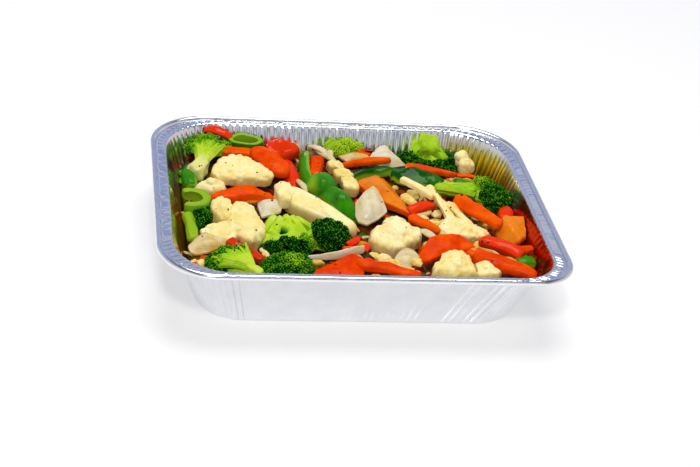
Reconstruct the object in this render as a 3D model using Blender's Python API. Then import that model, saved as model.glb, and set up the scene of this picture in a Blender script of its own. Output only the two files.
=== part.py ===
"""A half-size foil tray filled with stir-fried vegetables.

The tray is one drawn sheet of foil: a flat base, leaning walls with pressed pleats, a narrow flange and a
rolled bead. In it lies a heap of cut vegetables. Each piece that shows is a solid of its own, and the
hidden ones below are one bed. Metres, +Z up. The origin is the centre of the tray's underside, and +X runs
along the tray's length.
"""

import math

import bmesh
import bpy
from mathutils import Euler, Matrix, Vector, noise
from mathutils.bvhtree import BVHTree

MM = 0.001

# The tray. An inset is a distance in from the outside of the bead.
TRAY_LENGTH = 323 * MM
TRAY_WIDTH = 264 * MM
TRAY_HEIGHT = 61 * MM
FOIL = 0.7 * MM
BEAD_RADIUS = 34 * MM
WALL_RADIUS = 38 * MM
BEAD_HEIGHT = 3.4 * MM
FLANGE_INSET = 13 * MM
WALL_TOP = 58 * MM
BASE_INSET = 31.6 * MM
BASE_FILLET = 2.2 * MM
PLEAT = 0.9 * MM
LONG_STEPS, SHORT_STEPS, CORNER_STEPS = 20, 16, 8

# The clearances that keep the solids apart.
WALL_GAP = 0.5 * MM
PRESS_GAP = 0.6 * MM

# The bed of hidden vegetables.
BED_TOP = 43 * MM
BED_LUMPS = 3 * MM
BED_FLOOR = 12 * MM
BED_RINGS = 7
SAMPLE_CELL = 2 * MM

COLOURS = {
    "foil": (0.80, 0.82, 0.86, 0.32, 1.0),
    "broccoli": (0.05, 0.22, 0.02, 0.55, 0.0),
    "cauliflower": (0.80, 0.70, 0.38, 0.50, 0.0),
    "carrot": (0.85, 0.14, 0.01, 0.35, 0.0),
    "red_pepper": (0.72, 0.03, 0.01, 0.25, 0.0),
    "green_pepper": (0.06, 0.26, 0.02, 0.25, 0.0),
    "orange_pepper": (0.80, 0.22, 0.02, 0.25, 0.0),
    "onion": (0.78, 0.72, 0.50, 0.35, 0.0),
    "mixed_vegetables": (0.35, 0.10, 0.02, 0.45, 0.0),
}


# ---------------------------------------------------------------- scene and materials


def clear_scene():
    for item in list(bpy.data.objects):
        bpy.data.objects.remove(item)


def new_collection(name):
    group = bpy.data.collections.new(name)
    bpy.context.scene.collection.children.link(group)
    return group


def material(name):
    """A Principled material of the named colour, made once."""
    if name in bpy.data.materials:
        return bpy.data.materials[name]
    red, green, blue, roughness, metallic = COLOURS[name]
    made = bpy.data.materials.new(name)
    made.use_nodes = True
    shader = made.node_tree.nodes["Principled BSDF"]
    shader.inputs["Base Color"].default_value = (red, green, blue, 1)
    shader.inputs["Roughness"].default_value = roughness
    shader.inputs["Metallic"].default_value = metallic
    return made


def new_object(name, shape, finish, group):
    """Turns a bmesh into a named object in a collection."""
    mesh = bpy.data.meshes.new(name)
    bmesh.ops.recalc_face_normals(shape, faces=shape.faces)
    shape.to_mesh(mesh)
    shape.free()
    made = bpy.data.objects.new(name, mesh)
    if finish:
        mesh.materials.append(material(finish))
    group.objects.link(made)
    return made


def loft(rings):
    """A closed skin over rings of equal point counts, with a flat face on the first and the last."""
    shape = bmesh.new()
    rows = [[shape.verts.new(point) for point in ring] for ring in rings]
    count = len(rings[0])
    for low, high in zip(rows, rows[1:]):
        for k in range(count):
            shape.faces.new((low[k], low[(k + 1) % count], high[(k + 1) % count], high[k]))
    shape.faces.new(rows[0][::-1])
    shape.faces.new(rows[-1])
    return shape


# ---------------------------------------------------------------- the foil tray


def rounded_rectangle(inset, radius, steps=(LONG_STEPS, SHORT_STEPS, CORNER_STEPS)):
    """Stations anticlockwise round a rounded rectangle: points in plan, each with its outward normal."""
    long_steps, short_steps, corner_steps = steps
    straight_x = TRAY_LENGTH / 2 - inset - radius
    straight_y = TRAY_WIDTH / 2 - inset - radius
    sides = (
        (straight_x, straight_y, 0, corner_steps, long_steps),
        (-straight_x, straight_y, 90, corner_steps, short_steps),
        (-straight_x, -straight_y, 180, corner_steps, long_steps),
        (straight_x, -straight_y, 270, corner_steps, short_steps),
    )
    stations = []
    for index, (x, y, start, turns, along) in enumerate(sides):
        for k in range(turns):
            angle = math.radians(start + 90 * k / turns)
            normal = Vector((math.cos(angle), math.sin(angle)))
            stations.append((Vector((x, y)) + normal * radius, normal))
        next_x, next_y = sides[(index + 1) % 4][:2]
        angle = math.radians(start + 90)
        normal = Vector((round(math.cos(angle)), round(math.sin(angle))))
        for k in range(along):
            centre = Vector((x, y)).lerp(Vector((next_x, next_y)), k / along)
            stations.append((centre + normal * radius, normal))
    return stations


def pleated_ring(inset, height, radius, share):
    """One level of the tray, whose stations step out and in by a share of the pleat's depth."""
    ring = []
    for k, (point, normal) in enumerate(rounded_rectangle(inset, radius)):
        step = PLEAT * share * (1 if k % 2 else -1)
        flat = point + normal * step
        ring.append((flat.x, flat.y, height))
    return ring


def foil_tray(group):
    """The section runs from the underside up the outer wall, round the bead and down the inner wall."""
    bead_inset = BEAD_HEIGHT + 1.2 * MM
    section = (
        (BASE_INSET + 2.4 * MM, 0, WALL_RADIUS, 0),
        (BASE_INSET - FOIL, BASE_FILLET, WALL_RADIUS, 0.6),
        (FLANGE_INSET - FOIL, WALL_TOP - FOIL, WALL_RADIUS, 0.6),
        (bead_inset, TRAY_HEIGHT - BEAD_HEIGHT, BEAD_RADIUS - bead_inset, 0.15),
        (0, TRAY_HEIGHT - BEAD_HEIGHT * 0.6, BEAD_RADIUS, 0),
        (BEAD_HEIGHT * 0.55, TRAY_HEIGHT, BEAD_RADIUS - BEAD_HEIGHT * 0.55, 0),
        (bead_inset, WALL_TOP + FOIL, BEAD_RADIUS - bead_inset, 0.15),
        (FLANGE_INSET, WALL_TOP, WALL_RADIUS, 0.6),
        (BASE_INSET, BASE_FILLET + FOIL, WALL_RADIUS, 0.6),
        (BASE_INSET + 2.6 * MM, FOIL, WALL_RADIUS, 0),
    )
    shape = loft([pleated_ring(*level) for level in section])
    return new_object("foil_tray", shape, "foil", group)


def wall_inset(height):
    """The inset of the inner wall at a height."""
    run = (WALL_TOP - height) / (WALL_TOP - BASE_FILLET - FOIL)
    return FLANGE_INSET + run * (BASE_INSET - FLANGE_INSET)


def cavity_ring(height, steps):
    stations = rounded_rectangle(wall_inset(height) + PLEAT + WALL_GAP, WALL_RADIUS, steps)
    return [(point.x, point.y, height) for point, _ in stations]


def tray_cavity(group):
    """The room inside the walls, which trims the pieces that lean on them."""
    heights = (BASE_FILLET + FOIL + WALL_GAP, TRAY_HEIGHT + BEAD_HEIGHT)
    shape = loft([cavity_ring(height, (6, 4, 6)) for height in heights])
    return new_object("tray_cavity", shape, None, group)


# ---------------------------------------------------------------- shapes of cut vegetables

# Each shape is made round its own middle, with its length along +X, its width along Y and its skin or its
# upper side towards +Z. A floret grows towards +X. All sizes are in millimetres.


def stick(length, width, thick, tip=0.8, bow=0.0, sides=8):
    """A carrot baton with blunt ends, narrower at its tip, its middle raised by bow."""
    stations = [(0, 0.74), (0.1, 1), (0.92, tip), (1, tip * 0.62)]
    if bow:
        stations.insert(2, (0.5, 0.5 + tip / 2))
    rings = []
    for along, share in stations:
        lift = bow * (1 - (2 * along - 1) ** 2)
        ring = []
        for k in range(sides):
            angle = 2 * math.pi * (k + 0.5) / sides
            y = math.copysign(abs(math.cos(angle)) ** 0.8, math.cos(angle))
            z = math.copysign(abs(math.sin(angle)) ** 0.8, math.sin(angle))
            ring.append(
                (
                    (along - 0.5) * length * MM,
                    y * width / 2 * share * MM,
                    (z * thick / 2 * share + lift) * MM,
                )
            )
        rings.append(ring)
    return loft(rings)


def strip(length, width, thick, bend=30.0, arch=4.0, ends=(0.8, 0.8), steps=4):
    """A slice of pepper or a petal of onion: a slab with an arched skin, bent down by so many degrees.

    ends is the share of the width that is left at either end, so small shares make a pointed petal.
    """
    turn = math.radians(max(bend, 1.0))
    radius = length / turn
    rings = []
    for k in range(steps + 1):
        along = k / steps
        angle = turn * (along - 0.5)
        side = ends[0] if along < 0.5 else ends[1]
        half = width / 2 * (1 - (1 - side) * (2 * along - 1) ** 2)
        crown = arch * half / (width / 2)
        out = Vector((math.sin(angle), 0, math.cos(angle)))
        spine = out * radius - Vector((0, 0, radius))
        section = (
            (-half, 0),
            (0, crown),
            (half, 0),
            (half * 0.92, -thick),
            (0, crown - thick),
            (-half * 0.92, -thick),
        )
        rings.append([(spine + Vector((0, y, 0)) + out * z) * MM for y, z in section])
    return loft(rings)


def ball(centre, radii, seed=1, around=8, levels=3, rough=0.14):
    """A lumpy ball, for the head of a floret."""
    shape = bmesh.new()
    bmesh.ops.create_uvsphere(shape, u_segments=around, v_segments=levels + 1, radius=1)
    for vert in shape.verts:
        swell = 1 + rough * noise.noise(vert.co * 1.7 + Vector((seed * 7.3, 1.1, 2.7)))
        vert.co = Vector([vert.co[i] * radii[i] * swell + centre[i] for i in range(3)]) * MM
    return shape


def branch(start, end, radius_start, radius_end, sides=6):
    """A tapered stalk between two points."""
    start, end = Vector(start), Vector(end)
    turn = (end - start).to_track_quat("Z", "Y").to_matrix()
    rings = []
    for centre, radius in ((start, radius_start), (end, radius_end)):
        ring = []
        for k in range(sides):
            angle = 2 * math.pi * k / sides
            spoke = turn @ Vector((math.cos(angle), math.sin(angle), 0))
            ring.append((centre + spoke * radius) * MM)
        rings.append(ring)
    return loft(rings)


def floret(heads, stalk, cut, fork, seed=1, around=8):
    """A stalk that ends at the origin, whose radius goes from cut to fork, and a branch to each head.

    A head is x, y, z and its radii along the stalk, across it and upwards.
    """
    parts = [branch((-stalk, 0, 0), (2, 0, 0), cut, fork)]
    for k, (x, y, z, along, across, up) in enumerate(heads):
        parts.append(ball((x, y, z), (along, across, up), seed + k, around))
        if abs(y) > across * 0.6 or x > along * 1.3:
            parts.append(branch((-1, 0, 0), (x, y, z), fork * 0.75, min(along, across, up) * 0.6, 5))
    return parts


def curds(heads, seed=1, around=9, levels=4):
    """A head cut off short, or a slab of one, as lumps that run into each other."""
    return [
        ball((x, y, z), (along, across, up), seed + k, around, levels)
        for k, (x, y, z, along, across, up) in enumerate(heads)
    ]


def ring(length, width, wall, height, sides=12):
    """A slice across a pepper, which is an oval hoop."""
    shape = bmesh.new()
    rows = []
    for k in range(sides):
        angle = 2 * math.pi * k / sides
        spoke = Vector((math.cos(angle), math.sin(angle)))
        corners = []
        for inward, level in ((0, -0.5), (0, 0.5), (wall, 0.5), (wall, -0.5)):
            x = spoke.x * (length / 2 - inward)
            y = spoke.y * (width / 2 - inward)
            corners.append(shape.verts.new(Vector((x, y, level * height)) * MM))
        rows.append(corners)
    for k in range(sides):
        here, there = rows[k], rows[(k + 1) % sides]
        for j in range(4):
            shape.faces.new((here[j], there[j], there[(j + 1) % 4], here[(j + 1) % 4]))
    return shape


def moved(shape, offset, heading=0.0):
    """The shape turned and shifted inside its own piece."""
    turn = Matrix.Rotation(math.radians(heading), 4, "Z")
    bmesh.ops.transform(shape, matrix=Matrix.Translation(Vector(offset) * MM) @ turn, verts=shape.verts)
    return shape


# ---------------------------------------------------------------- joining and placing


def applied(item):
    """The object's mesh with its modifiers applied, as a mesh of its own."""
    bpy.context.view_layer.update()
    graph = bpy.context.evaluated_depsgraph_get()
    mesh = bpy.data.meshes.new_from_object(item.evaluated_get(graph))
    item.modifiers.clear()
    item.data = mesh
    return item


def drop_offcuts(item):
    """Keeps the largest body of a piece and throws away what a cut has parted from it."""
    shape = bmesh.new()
    shape.from_mesh(item.data)
    bmesh.ops.remove_doubles(shape, verts=shape.verts, dist=0.05 * MM)
    bmesh.ops.dissolve_limit(
        shape, angle_limit=math.radians(1.5), verts=shape.verts, edges=shape.edges
    )
    left = set(shape.faces)
    bodies = []
    while left:
        body, edge = [], [left.pop()]
        while edge:
            face = edge.pop()
            body.append(face)
            beyond = {near for side in face.edges for near in side.link_faces} & left
            left -= beyond
            edge += beyond
        bodies.append(body)
    bodies.sort(key=len)
    for body in bodies[:-1]:
        bmesh.ops.delete(shape, geom=body, context="FACES")
    shape.to_mesh(item.data)
    shape.free()


def add_boolean(item, other, operation):
    cut = item.modifiers.new(f"{operation.lower()}_{other.name}", "BOOLEAN")
    cut.object = other
    cut.operation = operation
    cut.solver = "EXACT"
    cut.use_self = True


def as_helper(item):
    item.hide_render = True
    item.display_type = "WIRE"
    return item


def joined(name, parts, finish, group, helpers):
    """One object from one shape or from several that overlap."""
    if not isinstance(parts, list):
        return new_object(name, parts, finish, group)
    whole = new_object(name, parts[0], finish, group)
    others = [new_object(f"{name}_part", part, finish, helpers) for part in parts[1:]]
    for other in others:
        add_boolean(whole, as_helper(other), "UNION")
    drop_offcuts(applied(whole))
    for other in others:
        bpy.data.objects.remove(other)
    return whole


def place(kind, number, parts, at, heading=0.0, pitch=0.0, roll=0.0):
    """Puts a shape in the tray, its middle at a point in millimetres.

    pitch lifts its front end, and roll turns it about its length.
    """
    name = f"{kind}_{number:02d}"
    item = joined(name, parts, kind, FOOD, CUTTERS)
    turn = Euler((math.radians(roll), math.radians(-pitch), math.radians(heading)))
    item.data.transform(Matrix.Translation(Vector(at) * MM) @ turn.to_matrix().to_4x4())
    PIECES.append(item)
    return item


def tree_of(items):
    """One search tree over several meshes, all in world space."""
    points, faces = [], []
    for item in items:
        first = len(points)
        points += [vert.co.copy() for vert in item.data.vertices]
        faces += [[first + k for k in face.vertices] for face in item.data.polygons]
    return BVHTree.FromPolygons(points, faces)


def swollen(item):
    """A copy that stands out by the press gap, to cut what the piece presses on."""
    copy = bpy.data.objects.new(f"{item.name}_cutter", item.data)
    CUTTERS.objects.link(as_helper(copy))
    grow = copy.modifiers.new("grow", "DISPLACE")
    grow.strength = PRESS_GAP
    grow.mid_level = 0
    return copy


def trim_to_walls(cavity):
    """Flattens the pieces that lean on a wall."""
    for item in PIECES:
        for vert in item.data.vertices:
            inset = wall_inset(vert.co.z) + PLEAT + WALL_GAP
            room_x = TRAY_LENGTH / 2 - inset - abs(vert.co.x)
            room_y = TRAY_WIDTH / 2 - inset - abs(vert.co.y)
            corner = Vector((max(WALL_RADIUS - room_x, 0), max(WALL_RADIUS - room_y, 0)))
            if corner.length > WALL_RADIUS or min(room_x, room_y) < 0:
                add_boolean(item, cavity, "INTERSECT")
                applied(item)
                break


def press_together():
    """Each piece takes its room from those that lie below it, which come before it in the list."""
    cutters = [applied(swollen(item)) for item in PIECES]
    trees = [tree_of([cutter]) for cutter in cutters]
    for low, item in enumerate(PIECES):
        for high in range(low + 1, len(PIECES)):
            if trees[low].overlap(trees[high]):
                add_boolean(item, cutters[high], "DIFFERENCE")
        drop_offcuts(applied(item))
    return cutters


# ---------------------------------------------------------------- the bed of hidden vegetables


def undersides(covers):
    """How high the bed may reach at each point of a fine grid, below the lowest cover there."""
    tree = tree_of(covers)
    reach_x = int(TRAY_LENGTH / 2 / SAMPLE_CELL)
    reach_y = int(TRAY_WIDTH / 2 / SAMPLE_CELL)
    seen = {}
    for i in range(-reach_x, reach_x + 1):
        for j in range(-reach_y, reach_y + 1):
            foot = Vector((i * SAMPLE_CELL, j * SAMPLE_CELL, 0))
            hit = tree.ray_cast(foot, Vector((0, 0, 1)))[0]
            seen[i, j] = hit.z if hit else 1.0
    sides = (-1, 0, 1)
    return {
        (i, j): min(seen.get((i + m, j + n), 1.0) for m in sides for n in sides) - PRESS_GAP
        for i, j in seen
    }


def settle(shape, rim, steps, covers):
    """Lowers the bed's top wherever a piece presses on it. The points on the rim follow the wall down."""
    roofs = undersides(covers)
    for _ in range(60):
        tree = BVHTree.FromBMesh(shape)
        shape.faces.ensure_lookup_table()
        drops = {}
        for (i, j), roof in roofs.items():
            above = Vector((i * SAMPLE_CELL, j * SAMPLE_CELL, 1.0))
            point, _, index, _ = tree.ray_cast(above, Vector((0, 0, -1)))
            if point and point.z > roof:
                for vert in shape.faces[index].verts:
                    drops[vert] = max(drops.get(vert, 0), point.z - roof)
        if not drops:
            return
        for vert, drop in drops.items():
            vert.co.z = max(vert.co.z - drop, BED_FLOOR)
            if vert in rim:
                vert.co = Vector(cavity_ring(vert.co.z, steps)[rim[vert]])


def vegetable_bed(group, covers):
    """Rings from the wall in to the tray's middle carry the uneven top, and the sides follow the wall."""
    steps = (13, 10, 3)
    foot = cavity_ring(BASE_FILLET + FOIL + WALL_GAP, steps)
    rings = [foot]
    for level in range(BED_RINGS):
        share = 1 - level / BED_RINGS
        ring = []
        for k, (x, y, _) in enumerate(cavity_ring(BED_TOP, steps)):
            height = BED_TOP + BED_LUMPS * noise.noise(Vector((x, y, 0)) * share * 50)
            edge = cavity_ring(height, steps)[k]
            ring.append((edge[0] * share, edge[1] * share, height))
        rings.append(ring)
    shape = loft(rings)
    shape.verts.ensure_lookup_table()
    rim = {shape.verts[len(foot) + k]: k for k in range(len(foot))}
    bmesh.ops.triangulate(shape, faces=shape.faces)
    bmesh.ops.recalc_face_normals(shape, faces=shape.faces)
    settle(shape, rim, steps, covers)
    return new_object("vegetable_bed", shape, "mixed_vegetables", group)


# ---------------------------------------------------------------- the heap, from the lowest piece up


def lower_pieces():
    """What the others lie on."""
    place("red_pepper", 1, strip(52, 15, 5, 20, 3, steps=3), (-42.5, 65, 43), -86, 0, 10)
    place("broccoli", 1, curds([(0, 0, 0, 11, 9, 9)]), (-120, -12, 41), 0)
    place("green_pepper", 1, strip(18, 12, 5, 20, 2, steps=2), (133, -70, 43), 5)
    place("red_pepper", 2, strip(24, 15, 5, 40, 4, steps=3), (137, 6, 42), 80, 0, 25)
    place("onion", 1, strip(36, 20, 3, 40, 5, (0.3, 0.6), 3), (-119, -55, 43), 32)
    place("onion", 2, strip(34, 14, 3, 30, 3, (0.3, 0.3), 3), (19, 92, 46), 3)
    place("carrot", 1, stick(26, 13, 12), (90, -64, 44), -50)
    place("cauliflower", 1, curds([(0, 0, 0, 11, 13, 10)], 4), (97, -90, 43), 0)
    place("green_pepper", 2, strip(60, 11, 5, 30, 3), (34, 71, 45), 16, 0, -20)
    place("orange_pepper", 1, strip(34, 28, 5, 30, 4, (0.95, 0.9), 3), (133.5, -25, 46), -82, 0, 20)
    place("red_pepper", 3, stick(38, 12, 10), (-90.5, -65, 42), -48)
    place("onion", 3, strip(32, 22, 3, 40, 5, (0.3, 0.4), 3), (-65, 4, 44), 100)


def middle_pieces():
    """The large florets and the long slices."""
    crown = [(17, 7, 0, 11, 11, 7), (22, -8, 1, 11, 11, 7), (9, -14, 0, 9, 9, 7)]
    place("broccoli", 2, floret(crown, 30, 6.5, 6, 5, 7), (-116, 81, 47.5), 74, 4)
    place("cauliflower", 2, curds([(-4, 1, 0, 9, 9, 8), (7, -2, -1, 8, 7, 6)], 6, 8, 3), (-113, 36, 42), 0)
    slab = [(-3, 2, 0, 24, 17, 11), (17, -6, -2, 10, 10, 9)]
    place("cauliflower", 3, curds(slab, 7), (-85, 59, 44), -8)
    crown = [(7, 23, 1, 11, 11, 11), (19, -5, 1, 15, 18, 13), (14, -24, -2, 11, 11, 10)]
    place("cauliflower", 4, floret(crown, 22, 7, 9, 8), (-104, -28, 42), 21)
    crown = [(20, 16, 0, 8, 10, 8), (22, 3, 1, 8, 10, 8), (19, -11, 0, 8, 10, 8)]
    place("broccoli", 3, floret(crown, 14, 6, 7, 9, 7), (-92, -93, 45), 128)
    place("broccoli", 4, curds([(0, 0, 0, 20, 17, 13)], 10), (-60, -87, 42), 8)
    crown = [(10, 27, -1, 15, 17, 13), (24, -10, -2, 8, 20, 10), (6, -4, -1, 14, 14, 9)]
    place("broccoli", 5, floret(crown, 26, 9, 11, 11), (-52, -36, 44), -83)
    place("cauliflower", 5, floret([(3, 0, 0, 15, 15, 10)], 66, 7.5, 10, 12), (-46, 15.5, 46), 131)
    blocks = [(-12, 0, 0, 16, 9, 9), (10, 0, 0, 15, 10, 9)]
    place("cauliflower", 6, curds(blocks, 13, 8, 3), (0, 51, 43.5), -80)
    place("orange_pepper", 2, strip(58, 28, 5, 20, 5, (1, 0.75)), (32, 26, 46), -70, 0, -6)
    heads = [(0, 0, 0, 23, 20, 13), (2, 21, 4, 10, 9, 9)]
    place("cauliflower", 7, curds(heads, 14), (31.5, -38, 42.5), 0)
    crown = [(-3, -13, -1, 9, 14, 9), (10, 11, 0, 9, 15, 9)]
    place("broccoli", 6, floret(crown, 18, 11, 11, 15), (84, 97, 46), -90, -18)
    place("cauliflower", 8, curds([(0, 4, 1, 8, 8, 8), (2, -5, -1, 7, 8, 8)], 16, 8, 3), (114, 88, 45), 0)
    crown = [(18, -2, -2, 15, 18, 13), (11, 9, 2, 11, 11, 10)]
    place("broccoli", 7, floret(crown, 32, 5, 8, 17), (112, 32, 45), -16)
    place("broccoli", 8, curds([(-8, 0, 0, 10, 9, 8), (8, 1, 0, 10, 9, 8)], 18, 8, 3), (8, 103.5, 48), 0)
    place("onion", 4, strip(38, 22, 3, 30, 5, (0.5, 0.4), 3), (-12, 95, 47), 100, 0, 20)
    place("onion", 5, strip(36, 26, 3, 40, 5, (0.4, 0.2), 3), (45, 95, 46), -22, 4, 25)
    place("red_pepper", 4, strip(28, 13, 5, 30, 4, steps=3), (60.5, 5, 46), 28)
    place("carrot", 2, stick(30, 11, 10), (58.5, -23, 45), -46)
    place("green_pepper", 3, strip(33, 13, 5, 30, 4, steps=3), (-130.5, 52, 45), 90, 0, -35)
    place("green_pepper", 4, strip(34, 11, 6, 20, 2, steps=3), (-132, -28, 44), -88, -6)
    place("cauliflower", 9, curds([(0, 0, 0, 18.5, 17, 12)], 20), (70, -86, 43), 0)


def upper_pieces():
    """What lies on top."""
    place("red_pepper", 5, strip(27, 8, 4, 60, 2, steps=3), (-102, 112.5, 58.5), -28)
    place("green_pepper", 5, ring(31, 22, 4, 8), (-78.5, 103.5, 50))
    place("carrot", 3, stick(36, 14, 12), (-83, 88, 47), -7)
    place("carrot", 4, stick(48, 16, 14), (-59.5, 69, 49.5), -56)
    place("red_pepper", 6, strip(30, 24, 6, 40, 7, (0.8, 0.6), 3), (-46, 99, 49), -10)
    place("green_pepper", 6, strip(60, 12, 4, 20, 2), (-33, 65, 47), -93, 0, 60)
    place("carrot", 5, stick(34, 13, 12, 0.9), (-21, 67, 46.5), -102)
    place("green_pepper", 7, strip(63, 9, 6, 240, 1, (1, 1), 8), (-114, 5, 46), 90, 0, 90)
    place("carrot", 6, stick(54, 14, 11, 0.6, 5), (-88, 13.5, 46), 7)
    bulb = [
        ball((-14, 29, -2.5), (13, 14, 12), 2, 9, 4),
        moved(strip(52, 21, 5, 30, 7, (0.9, 0.7)), (0, 0, 0), -65),
    ]
    place("green_pepper", 8, bulb, (-5, 6, 46.5))
    place("onion", 6, strip(44, 28, 3, 40, 7, (0.6, 0.1)), (17, 3, 48), 90, 22)
    place("carrot", 7, stick(46, 11, 10), (25, 77, 47.5), 12)
    place("green_pepper", 9, strip(48, 22, 5, 40, 7), (66, 54, 47), -15)
    place("carrot", 8, stick(46, 9, 8), (79, 62, 50), -12)
    stem = [
        ball((6, -33, -4), (16, 10, 7), 21),
        branch((-30, 40, 3), (-7, 23, 2), 4, 4.5, 5),
        branch((-9, 26, 2), (5, -26, -2), 4, 6, 5),
        branch((4, -24, -2), (30, -40, -5), 6, 2.5, 5),
    ]
    place("cauliflower", 10, stem, (80, 0, 49))
    place("carrot", 9, stick(54, 16, 13), (106.5, -8, 48), -57)
    place("red_pepper", 7, strip(38, 17, 6, 30, 5, steps=3), (116.5, -55, 46), -40)
    place("carrot", 10, stick(50, 26, 13, 0.7), (67.5, -62, 47), 22)
    place("carrot", 11, stick(54, 18, 13, 0.6), (111.5, -88, 48), -34)
    place("carrot", 14, stick(17, 10, 8, 0.7), (134.5, -57, 44), 15)
    place("onion", 7, strip(30, 20, 3, 40, 5, (0.4, 0.4), 3), (34, -78, 47), 60)
    place("carrot", 12, stick(52, 16, 13), (15.5, -96, 47), -22)
    place("carrot", 13, stick(50, 21, 11, 0.9), (-25, -95, 47.5), 24)
    place("onion", 8, strip(56, 7, 3, 60, 0.5, (0.2, 0.6), 5), (-21, -81, 50), 17, 0, 90)


clear_scene()
MODEL = new_collection("foil_tray_meal")
FOOD = new_collection("vegetables")
CUTTERS = new_collection("cutters")
PIECES = []
foil_tray(MODEL)
lower_pieces()
middle_pieces()
upper_pieces()
trim_to_walls(as_helper(tray_cavity(CUTTERS)))
vegetable_bed(MODEL, press_together())
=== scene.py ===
# %% [markdown]
# # A foil tray of stir-fried vegetables
#
# The real object is a half-size catering tray pressed from one sheet of aluminium foil. It holds a heap
# of hot vegetables: carrot batons, strips of red, green and orange pepper, petals of onion, and florets
# of broccoli and cauliflower, all shining with a little oil and dotted with cracked black pepper.
#
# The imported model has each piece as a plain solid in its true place. Detail could be carved into those
# solids, but their long thin faces don't bend well. So every piece is modelled again in fine detail
# round its own middle, turned the way the solid lies, and set into the solid's box. Working from the
# box means that the food stays where the model says it is.

import math
import random

import bmesh
import bpy
import numpy as np
from mathutils import Euler, Matrix, Vector, noise
from mathutils.bvhtree import BVHTree


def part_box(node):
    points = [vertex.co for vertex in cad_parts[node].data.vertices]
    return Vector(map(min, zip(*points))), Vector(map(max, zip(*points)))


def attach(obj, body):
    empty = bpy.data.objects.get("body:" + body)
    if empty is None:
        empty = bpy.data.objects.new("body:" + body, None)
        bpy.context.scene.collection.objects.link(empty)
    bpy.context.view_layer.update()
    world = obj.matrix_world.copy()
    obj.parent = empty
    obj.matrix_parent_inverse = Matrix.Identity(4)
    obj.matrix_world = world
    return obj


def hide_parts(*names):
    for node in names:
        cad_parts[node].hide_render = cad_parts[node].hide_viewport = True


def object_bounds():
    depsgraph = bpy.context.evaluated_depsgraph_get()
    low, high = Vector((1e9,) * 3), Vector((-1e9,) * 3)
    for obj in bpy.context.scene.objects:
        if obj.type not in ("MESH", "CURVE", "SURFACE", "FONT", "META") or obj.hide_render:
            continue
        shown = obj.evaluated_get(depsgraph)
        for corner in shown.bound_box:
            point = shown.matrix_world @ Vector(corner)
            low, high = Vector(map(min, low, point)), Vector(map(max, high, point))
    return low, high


# Vector noise starts from a new place in every session unless it is given a seed.
NOISE_SEED = 3
noise.seed_set(NOISE_SEED)

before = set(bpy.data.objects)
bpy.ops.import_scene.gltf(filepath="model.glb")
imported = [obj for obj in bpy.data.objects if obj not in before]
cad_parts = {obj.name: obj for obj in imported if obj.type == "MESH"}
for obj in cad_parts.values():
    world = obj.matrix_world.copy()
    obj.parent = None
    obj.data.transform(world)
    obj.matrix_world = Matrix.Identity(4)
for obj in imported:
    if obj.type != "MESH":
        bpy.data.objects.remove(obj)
solid_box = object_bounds()
corners = [tuple(round(value, 4) for value in corner) for corner in solid_box]
print("solids:", len(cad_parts), "box in metres:", corners)

# %% [markdown]
# ## Units and colours
#
# Shapes are worked out in millimetres, because food is easy to picture in them, and turned to metres
# when a mesh is made. A colour picked from a screen is sRGB, while a shader reckons in linear light.
# One function turns the first into the second, so every colour below can be written as its usual hex
# code.

# %% Millimetres and hex colours
MM = 0.001


def colour(code):
    """An sRGB hex code as linear red, green, blue and a full alpha."""
    parts = [int(code[k : k + 2], 16) / 255 for k in (1, 3, 5)]
    return [part / 12.92 if part <= 0.04045 else ((part + 0.055) / 1.055) ** 2.4 for part in parts] + [1]


print("a ripe carrot orange in linear light:", [round(part, 3) for part in colour("#F2640F")])

# %% [markdown]
# ## One way to add a node
#
# A finish is a small graph of nodes. Writing each one takes a line to make it, one for each setting and
# one for each link. A single function does all three: a value is set, a hex code is turned to a colour,
# and another node, or one of its outputs, is linked. Two more start a material and link its shader.

# %% A node with its settings and links


def link(tree, source, socket):
    """Links a socket to an output, or to the first output in use of a node."""
    if isinstance(source, bpy.types.Node):
        source = next(output for output in source.outputs if output.enabled)
    tree.links.new(source, socket)


def add(tree, kind, inputs=(), stops=(), **settings):
    """Adds a node. stops are the places and hex codes along a colour ramp."""
    node = tree.nodes.new("ShaderNode" + kind)
    for name, value in settings.items():
        setattr(node, name, value)
    for name, value in dict(inputs).items():
        if isinstance(value, (bpy.types.Node, bpy.types.NodeSocket)):
            link(tree, value, node.inputs[name])
        else:
            node.inputs[name].default_value = colour(value) if isinstance(value, str) else value
    for k, (place, code) in enumerate(stops):
        marks = node.color_ramp.elements
        mark = marks[k] if k < 2 else marks.new(place)
        mark.position = place
        mark.color = colour(code)
    return node


# %% The start and the end of a material


def start(name, **sockets):
    """A new material and its tree. Values that are even all over are set straight on its shader."""
    made = bpy.data.materials.new(name)
    made.use_nodes = True
    for socket, value in sockets.items():
        made.node_tree.nodes["Principled BSDF"].inputs[socket.replace("_", " ")].default_value = value
    return made, made.node_tree


def finished(made, **sockets):
    """Links what varies over the surface to the shader's sockets."""
    for socket, source in sockets.items():
        shader = made.node_tree.nodes["Principled BSDF"]
        link(made.node_tree, source, shader.inputs[socket.replace("_", " ")])
    print("made", made.name)
    return made


print("helpers ready: link, add, start, finished")

# %% [markdown]
# ## How a mesh carries its own facts
#
# A pepper strip is dark and glossy on its skin and pale on its cut faces, and a floret is green on its
# buds and yellow on its stalk. Painting that needs to know where on the piece a point is. Several
# materials on one mesh would do it with hard borders. Attributes blend from point to point, so each
# mesh carries three that the materials read. *tone* says what the surface is, such as skin or flesh.
# *chance* is a number from 0 to 1 that differs from piece to piece, so that no two are quite alike.
# *own* is the point's place inside its piece in millimetres, so that grain follows the piece however it
# lies.
#
# A part of a piece is held as points, faces, tone and chance until everything is joined.

# %% Parts and how they are joined
SHARED_CHANCE = 0.5


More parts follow.
